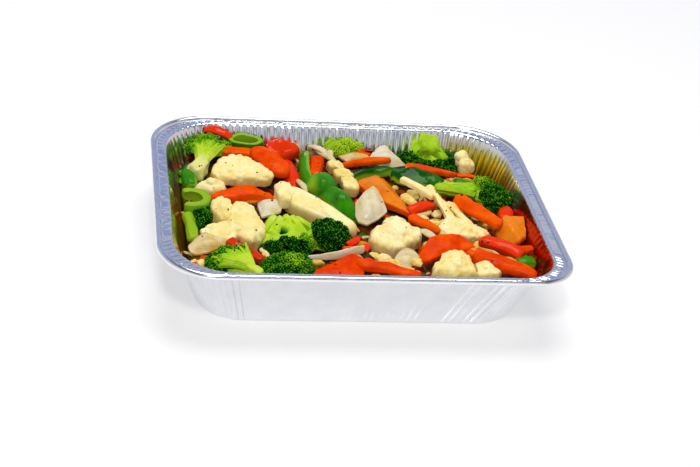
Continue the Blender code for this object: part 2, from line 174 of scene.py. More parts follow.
def part(points, faces, tone=0.0, chance=SHARED_CHANCE):
    """One skin. A part that has no chance of its own takes that of the piece it ends up in."""
    points = np.asarray(points, float)
    count = len(points)
    return {
        "points": points,
        "faces": faces,
        "tone": np.broadcast_to(np.asarray(tone, float), count),
        "chance": np.broadcast_to(np.asarray(chance, float), count),
    }


def joined(parts):
    """Several parts as one, without welding: food pieces that press together stay separate skins."""
    faces, first = [], 0
    for item in parts:
        faces += [[first + k for k in face] for face in item["faces"]]
        first += len(item["points"])
    whole = {key: np.concatenate([item[key] for item in parts]) for key in ("points", "tone", "chance")}
    return {**whole, "faces": faces}


def build(name, whole, own, material, sharp=50):
    """Makes the mesh object, in metres, riding on the tray."""
    mesh = bpy.data.meshes.new(name)
    mesh.from_pydata((whole["points"] * MM).tolist(), [], whole["faces"])
    mesh.shade_smooth()
    mesh.set_sharp_from_angle(angle=math.radians(sharp))
    for key in ("tone", "chance"):
        values = mesh.attributes.new(key, "FLOAT", "POINT")
        values.data.foreach_set("value", whole[key].astype(np.float32))
    spots = mesh.attributes.new("own", "FLOAT_VECTOR", "POINT")
    spots.data.foreach_set("vector", own.astype(np.float32).ravel())
    mesh.materials.append(material)
    item = bpy.data.objects.new(name, mesh)
    bpy.context.scene.collection.objects.link(item)
    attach(item, "root")
    return item


def triangles(item):
    return sum(len(face.vertices) - 2 for face in item.data.polygons)


print("helpers ready: part, joined, build, triangles")

# %% [markdown]
# ## The shape of the tray
#
# The tray is drawn from flat foil, so its wall leans out from a flat base, and the spare foil gathers
# into pleats: even ribs along the sides and sharper folds round the corners. Above the wall a flange
# runs outwards, and its edge is rolled into a bead that makes the thin sheet stiff.
#
# The sizes below are those of the solid, in millimetres. Handling has bent the rim, so each of its
# corners has a radius of its own. The food leans on the wall, so the same sizes are used to press it
# back inside.

# %% Sizes of the tray
low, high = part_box("foil_tray")
LENGTH, WIDTH, HEIGHT = ((high - low) / MM)[:]
# Radii in plan: one for the base, and the rim's at the back right, back left, front left and front
# right.
CORNER = 38
RIM_CORNERS = (52, 50, 46, 33)
# Insets are measured inwards from the bead's outer edge, and heights from the table.
BEAD_INSET = 5
FLANGE_INSET, WALL_TOP = 13, 58
BASE_INSET, WALL_FOOT = 31.6, 2.9
# The long sides have the narrower flange: their walls stand nearer to the bead from this height
# upwards.
NARROWER, NARROWER_FROM = 3.0, 20
# The food keeps this far from the foil's middle.
ROOM = 1.5


def wall_share(height):
    """0 at the foot of the wall and 1 at its top."""
    return np.clip((height - WALL_FOOT) / (WALL_TOP - WALL_FOOT), 0, 1)


def wall_inset(height):
    """How far in from the bead the inner wall stands at a height."""
    run = np.clip((WALL_TOP - height) / (WALL_TOP - WALL_FOOT), 0, 1)
    return FLANGE_INSET + run * (BASE_INSET - FLANGE_INSET)


def narrowed(inset, height):
    """How much nearer to the bead the long walls stand."""
    rise = np.clip((height - NARROWER_FROM) / (WALL_TOP - NARROWER_FROM), 0, 1)
    return NARROWER * rise * np.clip((inset - BEAD_INSET) / (FLANGE_INSET - BEAD_INSET), 0, 1)


def at_corner(x, y, values):
    """Picks the value of the corner that a point is nearest to, in the order of RIM_CORNERS."""
    return np.select([(x > 0) & (y > 0), y > 0, x <= 0], values[:3], values[3])


def corner_radius(x, y, rise):
    """A corner's radius in plan. They are alike at the base, and each is bent to its own at the rim."""
    return CORNER + (at_corner(x, y, RIM_CORNERS) - CORNER) * rise


def kept_in_tray(points):
    """Presses what would pass through the wall flat against it."""
    x, y, z = points.T
    inset = wall_inset(z) + ROOM
    radius = corner_radius(x, y, wall_share(z))
    inset_y = inset - narrowed(inset, z)
    centre = np.stack([LENGTH / 2 - inset - radius, WIDTH / 2 - inset_y - radius], 1)
    plan = points[:, :2]
    beyond = np.maximum(np.abs(plan) - centre, 0)
    reach = np.hypot(*beyond.T)
    over = reach > radius
    beyond[over] *= (radius[over] / reach[over])[:, None]
    held = points.copy()
    held[:, :2] = np.where(np.abs(plan) > centre, np.sign(plan) * (centre + beyond), plan)
    held[~over, :2] = plan[~over]
    return held


print("tray in millimetres:", round(LENGTH), round(WIDTH), round(HEIGHT))

# %% [markdown]
# ## The foil
#
# *Aluminium foil, rolled and pressed.* It is a bare metal, so its colour is all reflection: near white
# where it meets the bright table and blue-grey where it meets the room. Rolling leaves it half bright,
# pressing leaves small creases, and both show as a sparkle that breaks up the reflections. The creases
# could all be modelled, but most are shallower than a face of the mesh, so only the pleats and the
# rim's dents are, and a bump does the rest.
#
# On the inner wall the foil is tinted golden or red where food lies beside it: a painted reflection of
# the food. There *tone* is how strong the tint is, and *chance* is how red.

# %% Foil material
# Soft waves a finger's width across, and the small dents that pressing leaves, which are about 1 mm
# across on real foil and drawn twice as coarse to show.
CREASE_SIZE = 12.0
DENT_SIZE = 2.4


def rolled_aluminium_foil():
    made, tree = start("rolled_aluminium_foil", Specular_IOR_Level=0.5)
    spot = add(tree, "TexCoord").outputs["Object"]
    crease = add(tree, "TexNoise", {"Vector": spot, "Scale": 1 / (CREASE_SIZE * MM), "Detail": 4.0})
    dent = add(tree, "TexVoronoi", {"Vector": spot, "Scale": 1 / (DENT_SIZE * MM)}, feature="SMOOTH_F1")
    rough = add(tree, "MapRange", {"Value": crease, "To Min": 0.13, "To Max": 0.22})
    grey = ((0.3, "#E8EBF0"), (0.65, "#EEF0F4"))
    tint = add(tree, "ValToRGB", {"Fac": crease}, stops=grey)
    # Where the tone is high the metal is tinted golden or red: a painted reflection of the food beside
    # it.
    reflection_share = add(tree, "Attribute", attribute_name="tone").outputs["Fac"]
    redness = add(tree, "Attribute", attribute_name="chance").outputs["Fac"]
    reflection_tint = add(tree, "ValToRGB", {"Fac": redness}, stops=((0.2, "#D8BC16"), (0.8, "#BC3206")))
    paint = add(tree, "Mix", {0: reflection_share, 6: tint, 7: reflection_tint}, data_type="RGBA")
    folds = add(tree, "Bump", {"Height": crease, "Strength": 0.03, "Distance": 0.8 * MM})
    fine = {"Height": dent, "Strength": 0.05, "Distance": 0.15 * MM, "Normal": folds}
    dents = add(tree, "Bump", fine)
    bare = add(tree, "MapRange", {"Value": reflection_share, "To Min": 1.0, "To Max": 0.9})
    return finished(made, Base_Color=paint, Metallic=bare, Roughness=rough, Normal=dents)


FOIL = rolled_aluminium_foil()

# %% [markdown]
# ## Pleats, flange and bead
#
# The real sheet is pressed in one stroke, and the foil that is left over folds where it has to. A cloth
# simulation could find those folds, but not their even count, so the sheet is swept instead: a section
# that runs from the middle of the base up the wall and round the bead, carried along the outline of a
# rounded rectangle. Each station along the outline knows how many pleats came before it, so the wall
# can step out and in with that count. The corners have tighter and more uneven folds. The sheet is made
# as two skins, one to either side of its middle, because only the inner one carries the painted
# reflection of the food.

# %% Stations round the tray
LONG_PLEATS, SHORT_PLEATS, CORNER_PLEATS = 32, 22, 13
PLEAT_STEPS = 6
# The corner's folds die away over this many pleats of the straight side.
FADE = 1.5
SIDES = (
    (1, 1, 0, LONG_PLEATS),
    (-1, 1, 90, SHORT_PLEATS),
    (-1, -1, 180, LONG_PLEATS),
    (1, -1, 270, SHORT_PLEATS),
)


def stations():
    """Where each station stands, in rows.

    A row has the corner it starts from and the one it goes to, its share of the way, its direction in
    degrees, the count of pleats before it, and 1 at a corner down to 0 along a straight side.
    """
    rows, count = [], 0.0
    for index, (x, y, angle, straight) in enumerate(SIDES):
        after = SIDES[(index + 1) % 4]
        for k in range(CORNER_PLEATS * PLEAT_STEPS):
            turn = angle + 90 * k / (CORNER_PLEATS * PLEAT_STEPS)
            rows.append((x, y, x, y, 0.0, turn, count, 1.0))
            count += 1 / PLEAT_STEPS
        for k in range(straight * PLEAT_STEPS):
            share = k / (straight * PLEAT_STEPS)
            nearest = min(share, 1 - share) * straight
            corner = max(0.0, 1 - nearest / FADE)
            rows.append((x, y, after[0], after[1], share, angle + 90, count, corner))
            count += 1 / PLEAT_STEPS
    return np.array(rows)


STATIONS = stations()
print("stations round the tray:", len(STATIONS))

# %% One level of the sheet
# How deep the pleats are, in millimetres, on each straight side and round the corners.
BACK_DEPTH, LEFT_DEPTH, FRONT_DEPTH, RIGHT_DEPTH, FOLD_DEPTH = 0.8, 0.7, 0.7, 0.3, 1.1
# How high the radial ribs stand on the flange at each corner, in the order of RIM_CORNERS.
RIM_RIBS = (0.2, 0.12, 0.24, 0.25)
# How far dents push the flange sideways and up.
DENT_STEP, DENT_LIFT = 0.4, 0.45


def wobble(places, size, seed):
    """A smooth random number from -1 to 1 at each place along a line."""
    return np.array([noise.noise(Vector((place / size, seed * 7.7, 0.3))) for place in places])


def tray_level(inset, height, rise, pleat, crease, rib):
    """One level of the sheet.

    rise is 0 where the corners are the base's and 1 where they are the rim's. pleat, crease and rib say
    how much of each it has.
    """
    x0, y0, x1, y1, share, turn, count, corner = STATIONS.T
    normal = np.stack([np.cos(np.radians(turn)), np.sin(np.radians(turn))], 1)
    half = np.array([LENGTH / 2 - inset, WIDTH / 2 - inset + narrowed(inset, height)])
    ends = []
    for x, y in ((x0, y0), (x1, y1)):
        radius = np.minimum(corner_radius(x, y, rise), half[1] - 2)[:, None]
        ends.append(np.stack([x, y], 1) * (half - radius) + normal * radius)
    # Pleats step inwards. They vary in depth, and are sharper where the foil has to gather at a corner.
    uneven = 1 + 0.5 * wobble(count, 0.9, 1) + 0.6 * wobble(count, 3.1, 9)
    facing = [normal[:, 1] > 0.9, normal[:, 0] < -0.9, normal[:, 1] < -0.9]
    straight = np.select(facing, (BACK_DEPTH, LEFT_DEPTH, FRONT_DEPTH), RIGHT_DEPTH)
    depth = (straight * (1 - corner) + FOLD_DEPTH * corner) * uneven
    phase = 2 * math.pi * count
    ridge = (0.5 + 0.5 * np.cos(phase)) ** (1.3 + 3 * corner) * (1 + 0.6 * wobble(count, 0.8, 2))
    # Dents lie along the straight flange, and ribs run across it at the corners.
    dent = (wobble(count, 0.28, 3) + wobble(count, 0.75, 4)) * (0.5 - 0.4 * corner)
    ribs = at_corner(x0, y0, RIM_RIBS) * np.cos(phase + 2 * wobble(count, 2.3, 6))
    ribs = ribs * (1 + 0.4 * wobble(count, 0.9, 5))
    step = crease * dent * DENT_STEP - pleat * depth * ridge
    lift = crease * dent * DENT_LIFT + rib * corner * ribs
    plan = ends[0] + (ends[1] - ends[0]) * share[:, None] + normal * step[:, None]
    return np.column_stack([plan, height + lift])


print("deepest pleat in millimetres:", FOLD_DEPTH)

# %% The section that is swept
SHEET = 0.3
# A raised panel stiffens the base, and this radius leads from the base into the wall.
PANEL_HEIGHT, FOOT_RADIUS, FOOT_RISE = 1.3, 3, 2.7
# The bead's curl: its radii, and how far round it turns, in degrees.
BEAD_RADIUS, BEAD_RISE = 2.0, 2.3
BEAD_TURN, BEAD_STEPS = 300, 12
WALL_LEVELS = (0.1, 0.25, 0.4, 0.55, 0.7, 0.82, 0.9, 0.96)


def tray_section():
    """What tray_level takes, for each level from the base's middle to the curled edge."""
    floor = SHEET / 2
    rows = [(inset, PANEL_HEIGHT, 0, 0, 0, 0) for inset in (118, 60, 45)]
    rows += [(43.5, floor, 0, 0, 0, 0), (BASE_INSET + FOOT_RADIUS, floor, 0, 0.1, 0, 0)]
    for angle in (30, 60, 90):
        swing = math.radians(angle)
        inset = BASE_INSET + FOOT_RADIUS - FOOT_RADIUS * math.sin(swing)
        rows.append((inset, floor + FOOT_RISE * (1 - math.cos(swing)), 0, 0.5, 0, 0))
    for share in WALL_LEVELS:
        inset = BASE_INSET + share * (FLANGE_INSET - BASE_INSET)
        height = WALL_FOOT + share * (WALL_TOP - WALL_FOOT)
        rows.append((inset, height, share, min(1, (1 - share) * 8), 0, 0))
    rows += [
        (FLANGE_INSET - 0.2, WALL_TOP - 0.5, 1, 0.25, 0, 0.2),
        (FLANGE_INSET - 0.8, WALL_TOP, 1, 0.1, 0.3, 0.6),
        (11.2, WALL_TOP + 0.2, 1, 0, 0.9, 1),
        (9.0, WALL_TOP + 0.3, 1, 0, 1, 1),
        (6.6, WALL_TOP + 0.35, 1, 0, 1, 0.75),
        (5.2, WALL_TOP + 0.3, 1, 0, 0.8, 0.25),
        (4.5, WALL_TOP, 1, 0, 0.4, 0.05),
    ]
    for k in range(BEAD_STEPS + 1):
        swing = math.radians(BEAD_TURN * k / BEAD_STEPS - 15)
        inset = BEAD_RADIUS * (1 + math.cos(swing)) + 0.25
        height = HEIGHT - 0.4 - BEAD_RISE * (1 - math.sin(swing))
        rows.append((inset, height, 1, 0, 0.38, 0.03))
    return rows


print("levels in the section:", len(tray_section()))

# %% Two skins, with a painted reflection of the food on the inner one


def ramp(value, start, run):
    """0 up to a start and 1 after a run from there. A run below 0 goes the other way."""
    return np.clip((value - start) / run, 0, 1)


def painted_food_reflection(points, count):
    """How strongly the painted reflection of the food tints each point of the inner skin, and how red.

    It is yellow on the left wall and in the far right corner, and red on the right wall.
    """
    x, y, z = points.T
    left = ramp(x, -115, -12) * ramp(y, 60, -50)
    far = ramp(x, 90, 25) * ramp(y, 20, 30)
    red = ramp(x, 114, 12) * ramp(y, 24, -20)
    streaks = 1.25 + 0.6 * wobble(count, 0.7, 11)
    reflection_share = np.maximum(ramp(z, 56, -10) * np.maximum(left, far * 0.85), red) * ramp(z, 3, 4)
    return np.clip(reflection_share * streaks, 0, 1), np.where(red > 0.1, 1.0, 0.0)


def foil_tray():
    """The sheet's middle, swept level by level, then a skin half a thickness to either side of it."""
    section = tray_section()
    levels = [tray_level(*row) for row in section]
    count = len(STATIONS)
    points = np.vstack([*levels, [0, 0, levels[0][0, 2]]])
    index = np.arange(len(levels) * count).reshape(-1, count)
    after = np.roll(index, -1, axis=1)
    quads = np.stack([index[:-1], after[:-1], after[1:], index[1:]], axis=-1).reshape(-1, 4)
    centre = np.full(count, len(points) - 1)
    fan = np.stack([centre, after[0], index[0]], axis=1)
    out = np.zeros_like(points)
    for group, last in ((quads, 3), (fan, 2)):
        across = points[group[:, 2]] - points[group[:, 0]], points[group[:, last]] - points[group[:, 1]]
        for column in group.T:
            np.add.at(out, column, np.cross(*across))
    out *= SHEET / 2 / np.linalg.norm(out, axis=1)[:, None]
    reflection_share, redness = painted_food_reflection(points, np.append(np.tile(STATIONS[:, 6], len(levels)), 0))
    # The flange and the bead get none of the painted reflection, and the middle of the base gets as much
    # as the rest of it.
    reflection_share *= np.append(np.repeat([row[0] > FLANGE_INSET for row in section], count), True)
    outer = part(points + out, quads.tolist() + fan.tolist(), 0.0, 0.0)
    inner = part(points - out, quads[:, ::-1].tolist() + fan[:, ::-1].tolist(), reflection_share, redness)
    whole = joined([outer, inner])
    edge = np.stack([index[-1], after[-1], after[-1] + len(points), index[-1] + len(points)], axis=1)
    return {**whole, "faces": whole["faces"] + edge.tolist()}


tray_sheet = foil_tray()
tray = build("pressed_foil_tray", tray_sheet, tray_sheet["points"], FOIL)
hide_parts("foil_tray")
print("tray triangles:", triangles(tray))

# %% [markdown]
# ## Shapes of cut vegetables
#
# Nearly every piece on the plate is one of five shapes. A *baton* is a rounded stick with blunt ends. A
# *slab* is a slice with an arched skin, thin for onion and thicker for pepper. A *chunk* is a flat
# piece cut to a drawn outline. A *lump* is a ball whose skin swells into cells, like curd. A *stem* is
# a tube that tapers along a bend.
#
# Sculpting each piece by hand would give the freest shapes, but it can't be written down. A skin over
# rings of points can, it always closes, and its faces run along the piece as a knife does. So all but
# the lump are such skins. Each is made round its own middle, with its length along +X and its skin
# towards +Z, in the same sizes as its solid.

# %% Skins over rings of points


def loft(rows, tone=0.0):
    """A closed skin over rings of equal point counts, given as an array of rings, points and x, y, z."""
    rows = np.asarray(rows, float)
    rings, sides = rows.shape[:2]
    index = np.arange(rings * sides).reshape(rings, sides)
    after = np.roll(index, -1, axis=1)
    quads = np.stack([index[:-1], after[:-1], after[1:], index[1:]], axis=-1).reshape(-1, 4)
    faces = quads.tolist() + [index[0][::-1].tolist(), index[-1].tolist()]
    tone = np.broadcast_to(tone, (rings, sides)).ravel()
    return part(rows.reshape(-1, 3), faces, tone)


def rough_up(item, size, depth, seed):
    """Pushes the points about by smooth noise, so that nothing is quite straight."""
    shift = Vector((seed * 5.3, seed * 2.9, 1.7))
    moves = [noise.noise_vector(Vector(point) / size + shift) for point in item["points"]]
    return {**item, "points": item["points"] + np.array(moves) * depth}


def sliced(item, *cuts):
    """Flattens what lies beyond each knife cut: a direction and a distance from the middle."""
    points = item["points"].copy()
    for direction, distance in cuts:
        way = np.array(direction, float) / np.linalg.norm(direction)
        points -= way * np.maximum(points @ way - distance, 0)[:, None]
    return {**item, "points": points}


def dome(distance, run):
    """Goes from 0 to 1 over a run from an end, round like a ball."""
    return np.sqrt(np.clip(1 - (1 - np.clip(distance / run, 0, 1)) ** 2, 0.0004, 1))


def spaced(count):
    """Places from 0 to 1 that crowd towards both ends."""
    return (1 - np.cos(np.linspace(0, math.pi, count))) / 2


print("helpers ready: loft, rough_up, sliced, dome, spaced")

# %% Batons
BATON_RINGS, BATON_SIDES = 36, 32
# Below 1 a section is squarer than an ellipse.
SQUARENESS = 0.7
# The knife leaves so many flat facets along a baton.
FACETS = 3


def squared(wave):
    return np.sign(wave) * np.abs(wave) ** SQUARENESS


def baton(length, width, thick, tip=0.8, seed=1, rings=BATON_RINGS, sides=BATON_SIDES):
    """A stick with soft corners and blunt ends. tip is the share of its width at the far end."""
    along = spaced(rings)
    share = np.interp(along, (0, 0.12, 0.88, 1), (0.92, 1, tip, tip * 0.86))
    size = (share * dome(np.minimum(along, 1 - along) * length, thick * 0.34))[:, None]
    angle = 2 * math.pi * (np.arange(sides) + 0.5) / sides
    x = np.broadcast_to(((along - 0.5) * length)[:, None], (rings, sides))
    y = squared(np.cos(angle)) * size * width / 2
    z = squared(np.sin(angle)) * size * thick / 2
    rows = np.stack([x, y, z], axis=-1)
    draw = random.Random(seed)
    cuts = []
    for _ in range(FACETS):
        way = draw.uniform(0.1, 0.9) * math.pi
        half = math.hypot(math.cos(way) * width / 2, math.sin(way) * thick / 2)
        lean = draw.uniform(-0.12, 0.12)
        cuts.append(((lean, math.cos(way), math.sin(way)), half * draw.uniform(0.74, 0.9)))
    return rough_up(rough_up(sliced(loft(rows), *cuts), 14, 1.4, seed), 4, 0.3, seed + 40)


print("points on a baton:", BATON_RINGS * BATON_SIDES)

# %% Slabs
SLAB_RINGS = 30
# The rounded edge, from the skin down: shares of the half width and of the thickness, and the tone.
EDGE = ((0.97, -0.08, 0.8), (1.0, -0.3, 0.25), (1.0, -0.6, 0.0), (0.98, -0.9, 0.0))
# The cut ends show flesh for this many millimetres.
CUT_END = 0.6


def slab_section(steps):
    """Once round a slab: shares of its half width and of its thickness, and the tone."""
    top = [(u, 0.0, 1.0) for u in np.linspace(-0.93, 0.93, steps)]
    bottom = [(-u, -1.0, 0.0) for u in np.linspace(-0.93, 0.93, steps)]
    left = [(-u, v, tone) for u, v, tone in reversed(EDGE)]
    return np.array(top + list(EDGE) + bottom + left)


def slab(
    length, width, thick, bend, arch, ends=(0.8, 0.8), seed=1, ripple=0.7, steps=11, rings=SLAB_RINGS
):
    """A slice bent down by so many degrees. ends is the share of its width left at either end."""
    turn = math.radians(max(bend, 1.0))
    along = spaced(rings)
    side = np.where(along < 0.5, ends[0], ends[1])
    half = width / 2 * (1 - (1 - side) * (2 * along - 1) ** 2)
    from_end = np.minimum(along, 1 - along) * length
    half = half * (0.72 + 0.28 * dome(from_end, min(4, width / 3)))
    plump = 0.25 + 0.75 * dome(from_end, thick * 0.5)
    crown = arch * half / (width / 2)
    across, depth, tone = slab_section(steps).T
    angle = turn * (along - 0.5)
    out = np.stack([np.sin(angle), np.zeros(rings), np.cos(angle)], 1)
    spine = out * (length / turn) - np.array([0, 0, length / turn])
    level = crown[:, None] * (1 - across**2) + (depth + 0.5) * thick * plump[:, None] - thick / 2
    rows = spine[:, None, :] + out[:, None, :] * level[..., None]
    rows[..., 1] += half[:, None] * across
    tone = np.where(from_end[:, None] < CUT_END, 0.0, tone)
    return rough_up(rough_up(loft(rows, tone), 16, ripple * 2, seed), 6, ripple * 0.5, seed + 30)


print("points on a slab:", SLAB_RINGS * len(slab_section(11)))

# %% Chunks with a drawn outline
CHUNK_SIDES, CHUNK_RINGS = 84, 12


def rounded_outline(outline, sides, soft):
    """Evenly spaced points along an outline, with its corners rounded over about so many millimetres."""
    corners = np.array([*outline, outline[0]], float)
    run = np.insert(np.cumsum(np.linalg.norm(np.diff(corners, axis=0), axis=1)), 0, 0)
    at = np.linspace(0, run[-1], sides, endpoint=False)
    rim = np.column_stack([np.interp(at, run, corners[:, axis]) for axis in (0, 1)])
    apart = np.minimum(np.arange(sides), sides - np.arange(sides)) * run[-1] / sides
    weight = np.exp(-0.5 * (apart / soft) ** 2)
    return np.array([np.roll(weight, k) for k in range(sides)]) @ rim / weight.sum()


def chunk(
    outline,
    height,
    edge=4.0,
    arch=3.0,
    soft=1.2,
    tones=(1.0, 0.0),
    seed=1,
    wild=0.8,
    sides=CHUNK_SIDES,
    rings=CHUNK_RINGS,
):
    """A flat piece cut to an outline of x, y corners.

    Its rim is rounded by edge and its top is raised by arch. soft rounds the outline's corners, and
    tones are those of the top and of the sides.
    """
    rim = rounded_outline(outline, sides, soft)
    middle = rim.mean(0)
    broad = np.linalg.norm(rim - middle, axis=1).mean()
    under, inner = min(edge, height) * 0.4, max(1 - edge / broad, 0.12)
    # Each level is a share of the outline, a height and a tone: the underside, its rounded edge, the rim
    # and the arched top.
    levels = [(share, 0.0, tones[1]) for share in (0.15, 0.4, 0.65, 0.85)]
    for angle in (15, 40, 65, 90):
        swing = math.radians(angle)
        share = 1 - under * (1 - math.sin(swing)) / broad
        levels.append((share, under * (1 - math.cos(swing)), tones[1]))
    for angle in (0, 15, 30, 45, 60, 75, 90):
        swing = math.radians(angle)
        level = height - arch - edge + edge * math.sin(swing)
        tone = np.interp(angle, (20, 75), (tones[1], tones[0]))
        levels.append((1 - (1 - inner) * (1 - math.cos(swing)), max(level, under), tone))
    for share in np.linspace(1, 0.06, rings)[1:]:
        levels.append((inner * share, height - arch * share**2, tones[0]))
    rows = []
    for share, up, _ in levels:
        rows.append(np.column_stack([middle + (rim - middle) * share, np.full(sides, up)]))
    item = loft(rows, np.array([tone for _, _, tone in levels])[:, None])
    return rough_up(rough_up(item, 11, wild, seed), 4, wild * 0.35, seed + 30)


def folded(item, heading, offset, slope):
    """Bends down what lies beyond a line across a piece, by so much for each millimetre."""
    way = (math.cos(math.radians(heading)), math.sin(math.radians(heading)), 0)
    points = item["points"].copy()
    points[:, 2] -= slope * np.maximum(points @ way - offset, 0)
    return {**item, "points": points}


def turned(item, x, y, z, turn):
    """A piece turned in plan and put down at a place."""
    spin = np.array(Matrix.Rotation(math.radians(turn), 3, "Z"))
    return {**item, "points": item["points"] @ spin.T + np.array([x, y, z], float)}


print("helpers ready: rounded_outline, chunk, folded, turned")

# %% Lumps
BALLS = {}


def ball(level):
    """The points and faces of a ball of triangles, made once for each level."""
    if level not in BALLS:
        shape = bmesh.new()
        bmesh.ops.create_icosphere(shape, subdivisions=level, radius=1)
        points = np.array([vert.co for vert in shape.verts])
        BALLS[level] = points, [[vert.index for vert in face.verts] for face in shape.faces]
        shape.free()
    return BALLS[level]


def clusters(points, out, cell, depth, seed):
    """Swells points along out into rounded cells with finer ones on top.

    Also gives how deep in a crease each point lies, from 0 to 1.
    """
    swell, crease = np.empty(len(points)), np.empty(len(points))
    depth = np.broadcast_to(depth, len(points))
    shift = Vector((seed * 3.1, seed * 1.7, seed * 0.9))
    for k, point in enumerate(points):
        spot = Vector(point) / cell + shift
        near, second = noise.voronoi(spot)[0][:2]
        fine = noise.voronoi(spot * 2.7)[0][0]
        swell[k] = depth[k] * (0.45 - near * near * 1.2 - 0.4 * fine * fine)
        crease[k] = min(1, near / max(second, 0.01)) ** 3
    return points + out * swell[:, None], crease


def lump(centre, radii, cell=7.0, depth=1.0, seed=1, level=5, tone=0.0):
    """An uneven ball that swells into clusters. Its tone rises from tone towards 1 in the creases."""
    unit, faces = ball(level)
    radii = np.asarray(radii, float)
    out = unit / radii
    out /= np.linalg.norm(out, axis=1)[:, None]
    points, crease = clusters(unit * radii, out, cell, depth, seed)
    # On curds, the higher tone in the creases is painted darker: painted shade.
    item = part(points, faces, crease * (1 - tone) * 0.6 + tone)
    item = rough_up(item, max(radii) * 0.8, max(radii) * 0.12, seed + 60)
    return {**item, "points": item["points"] + np.asarray(centre, float)}


def curdled(item, cell=6.0, depth=0.7, seed=1, centre=(0, 0, 0)):
    """Swells the skin of any piece into clusters, deeper at its sides, and puts it down at centre."""
    points = item["points"]
    low = points.mean(0) * (1, 1, 0) + (0, 0, points[:, 2].min() - 8)
    out = (points - low) / np.linalg.norm(points - low, axis=1)[:, None]
    points, crease = clusters(points, out, cell, depth * (0.8 + 1.6 * item["tone"]), seed)
    # The creases and the sides take a higher tone, which the curd material paints darker: painted shade.
    tone = np.maximum(item["tone"], crease * 0.5)
    return {**item, "points": points + np.asarray(centre, float), "tone": tone}


def pressed(item, x, y, radius, depth, tone):
    """Presses a pit into the top of a piece, and paints it towards a tone: painted shade in the pit."""
    points = item["points"].copy()
    near = np.clip(1 - np.linalg.norm(points[:, :2] - (x, y), axis=1) / radius, 0, 1)
    near = near * near * (3 - 2 * near)
    points[:, 2] -= near * depth
    blend = np.minimum(near * 1.6, 1)
    return {**item, "points": points, "tone": item["tone"] + (tone - item["tone"]) * blend}


print("helpers ready: ball, clusters, lump, curdled, pressed")

# %% Stems
STEM_STEPS = 16


def stem(path, radii, tone=(0.3, 0.3), sides=16, steps=STEM_STEPS, ridges=0.05, seed=1, flat=1.0):
    """A tube along two points, or three that guide its bend, cut square with soft edges.

    ridges is the depth of the five that run along it, as a share of its radius, and flat squeezes it.
    """
    path = [Vector(point) for point in path]
    middle = path[1] if len(path) == 3 else (path[0] + path[-1]) / 2
    share = spaced(steps)[:, None]
    line = (1 - share) ** 2 * path[0] + 2 * share * (1 - share) * middle + share**2 * path[-1]
    ahead = np.gradient(line, axis=0)
    ahead /= np.linalg.norm(ahead, axis=1)[:, None]
    side = np.cross(ahead, (0.0, 0.05, 1.0))
    side /= np.linalg.norm(side, axis=1)[:, None]
    up = np.cross(side, ahead)
    angle = 2 * math.pi * np.arange(sides) / sides
    size = np.interp(share, np.linspace(0, 1, len(radii)), radii)
    from_end = np.minimum(share, 1 - share) * (path[-1] - path[0]).length
    size = size * (0.66 + 0.34 * dome(from_end, 0.4 * size)) * (1 + ridges * np.cos(angle * 5 + seed))
    rows = line[:, None] + side[:, None] * (size * np.cos(angle))[..., None]
    rows = rows + up[:, None] * (size * np.sin(angle) * flat)[..., None]
    tones = np.interp(share, (0, 1), tone)
    tones[0] = min(tone)
    return rough_up(loft(rows, tones), 5, 0.14 * max(radii), seed)


print("shapes ready: baton, slab, chunk, lump, stem")

# %% [markdown]
# ## Seating a piece in its solid
#
# A piece could be placed by typing its position, but then it would have to be moved by hand whenever
# the model changes. So only its turn is given: its heading in plan, its pitch, which lifts its front
# end, and its roll. Its place comes from the solid. The two boxes are lined up, by their middles in
# plan and by their tops in height. A solid that others press on has been cut short on the pressed side,
# so its middle lies off the real one. Those few pieces have a shift, in millimetres, that makes up for
# the cut.

# %% Put a piece in its place
SEATED = {}
KINDS = {}


def put(kind, number, parts, heading=0.0, pitch=0.0, roll=0.0, shift=(0, 0, 0), luck=None):
    """Turns a piece, seats it in its solid, keeps it inside the wall and builds it.

    luck is its chance. Without one it is drawn from the piece's name.
    """
    name = f"{kind}_{number:02d}"
    whole = joined(parts if isinstance(parts, list) else [parts])
    own = whole["points"]
    turn = Euler((math.radians(roll), math.radians(-pitch), math.radians(heading))).to_matrix()
    points = own @ np.array(turn).T
    low, high = (np.array(corner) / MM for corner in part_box(name))
    move = (low + high) / 2 - (points.min(0) + points.max(0)) / 2
    move[2] = high[2] - points[:, 2].max()
    move += shift
    whole["points"] = kept_in_tray(points + move)
    luck = random.Random(name).random() if luck is None else luck
    whole["chance"] = np.where(whole["chance"] == SHARED_CHANCE, luck, whole["chance"])
    item = build(f"cooked_{name}", whole, own, KINDS[kind])
    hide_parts(name)
    SEATED[name] = whole["points"], whole["faces"], kind
    print("seated", item.name, "with its top at", round(high[2], 1), "mm, triangles:", triangles(item))


print("helpers ready: put")

# %% [markdown]
# ## Carrots
#
# *Boiled carrot, cut in batons.* Cooking leaves it smooth and a little clear, so light sinks in and
# glows back orange, and a thin coat of oil shines on it. A painted colour would look like plastic, so a
# little subsurface carries the glow, and all the shine is left to the coat. The orange wanders between
# a bright one and a redder one over about a centimetre. Fine rings run round each baton, as the peeler
# and the root's growth left them.

# %% Carrot material
# Clouds of colour, and the rings across the root, which are finer on a real carrot than would show
# here.
CARROT_CLOUD, CARROT_RING = 9.0, 1.4


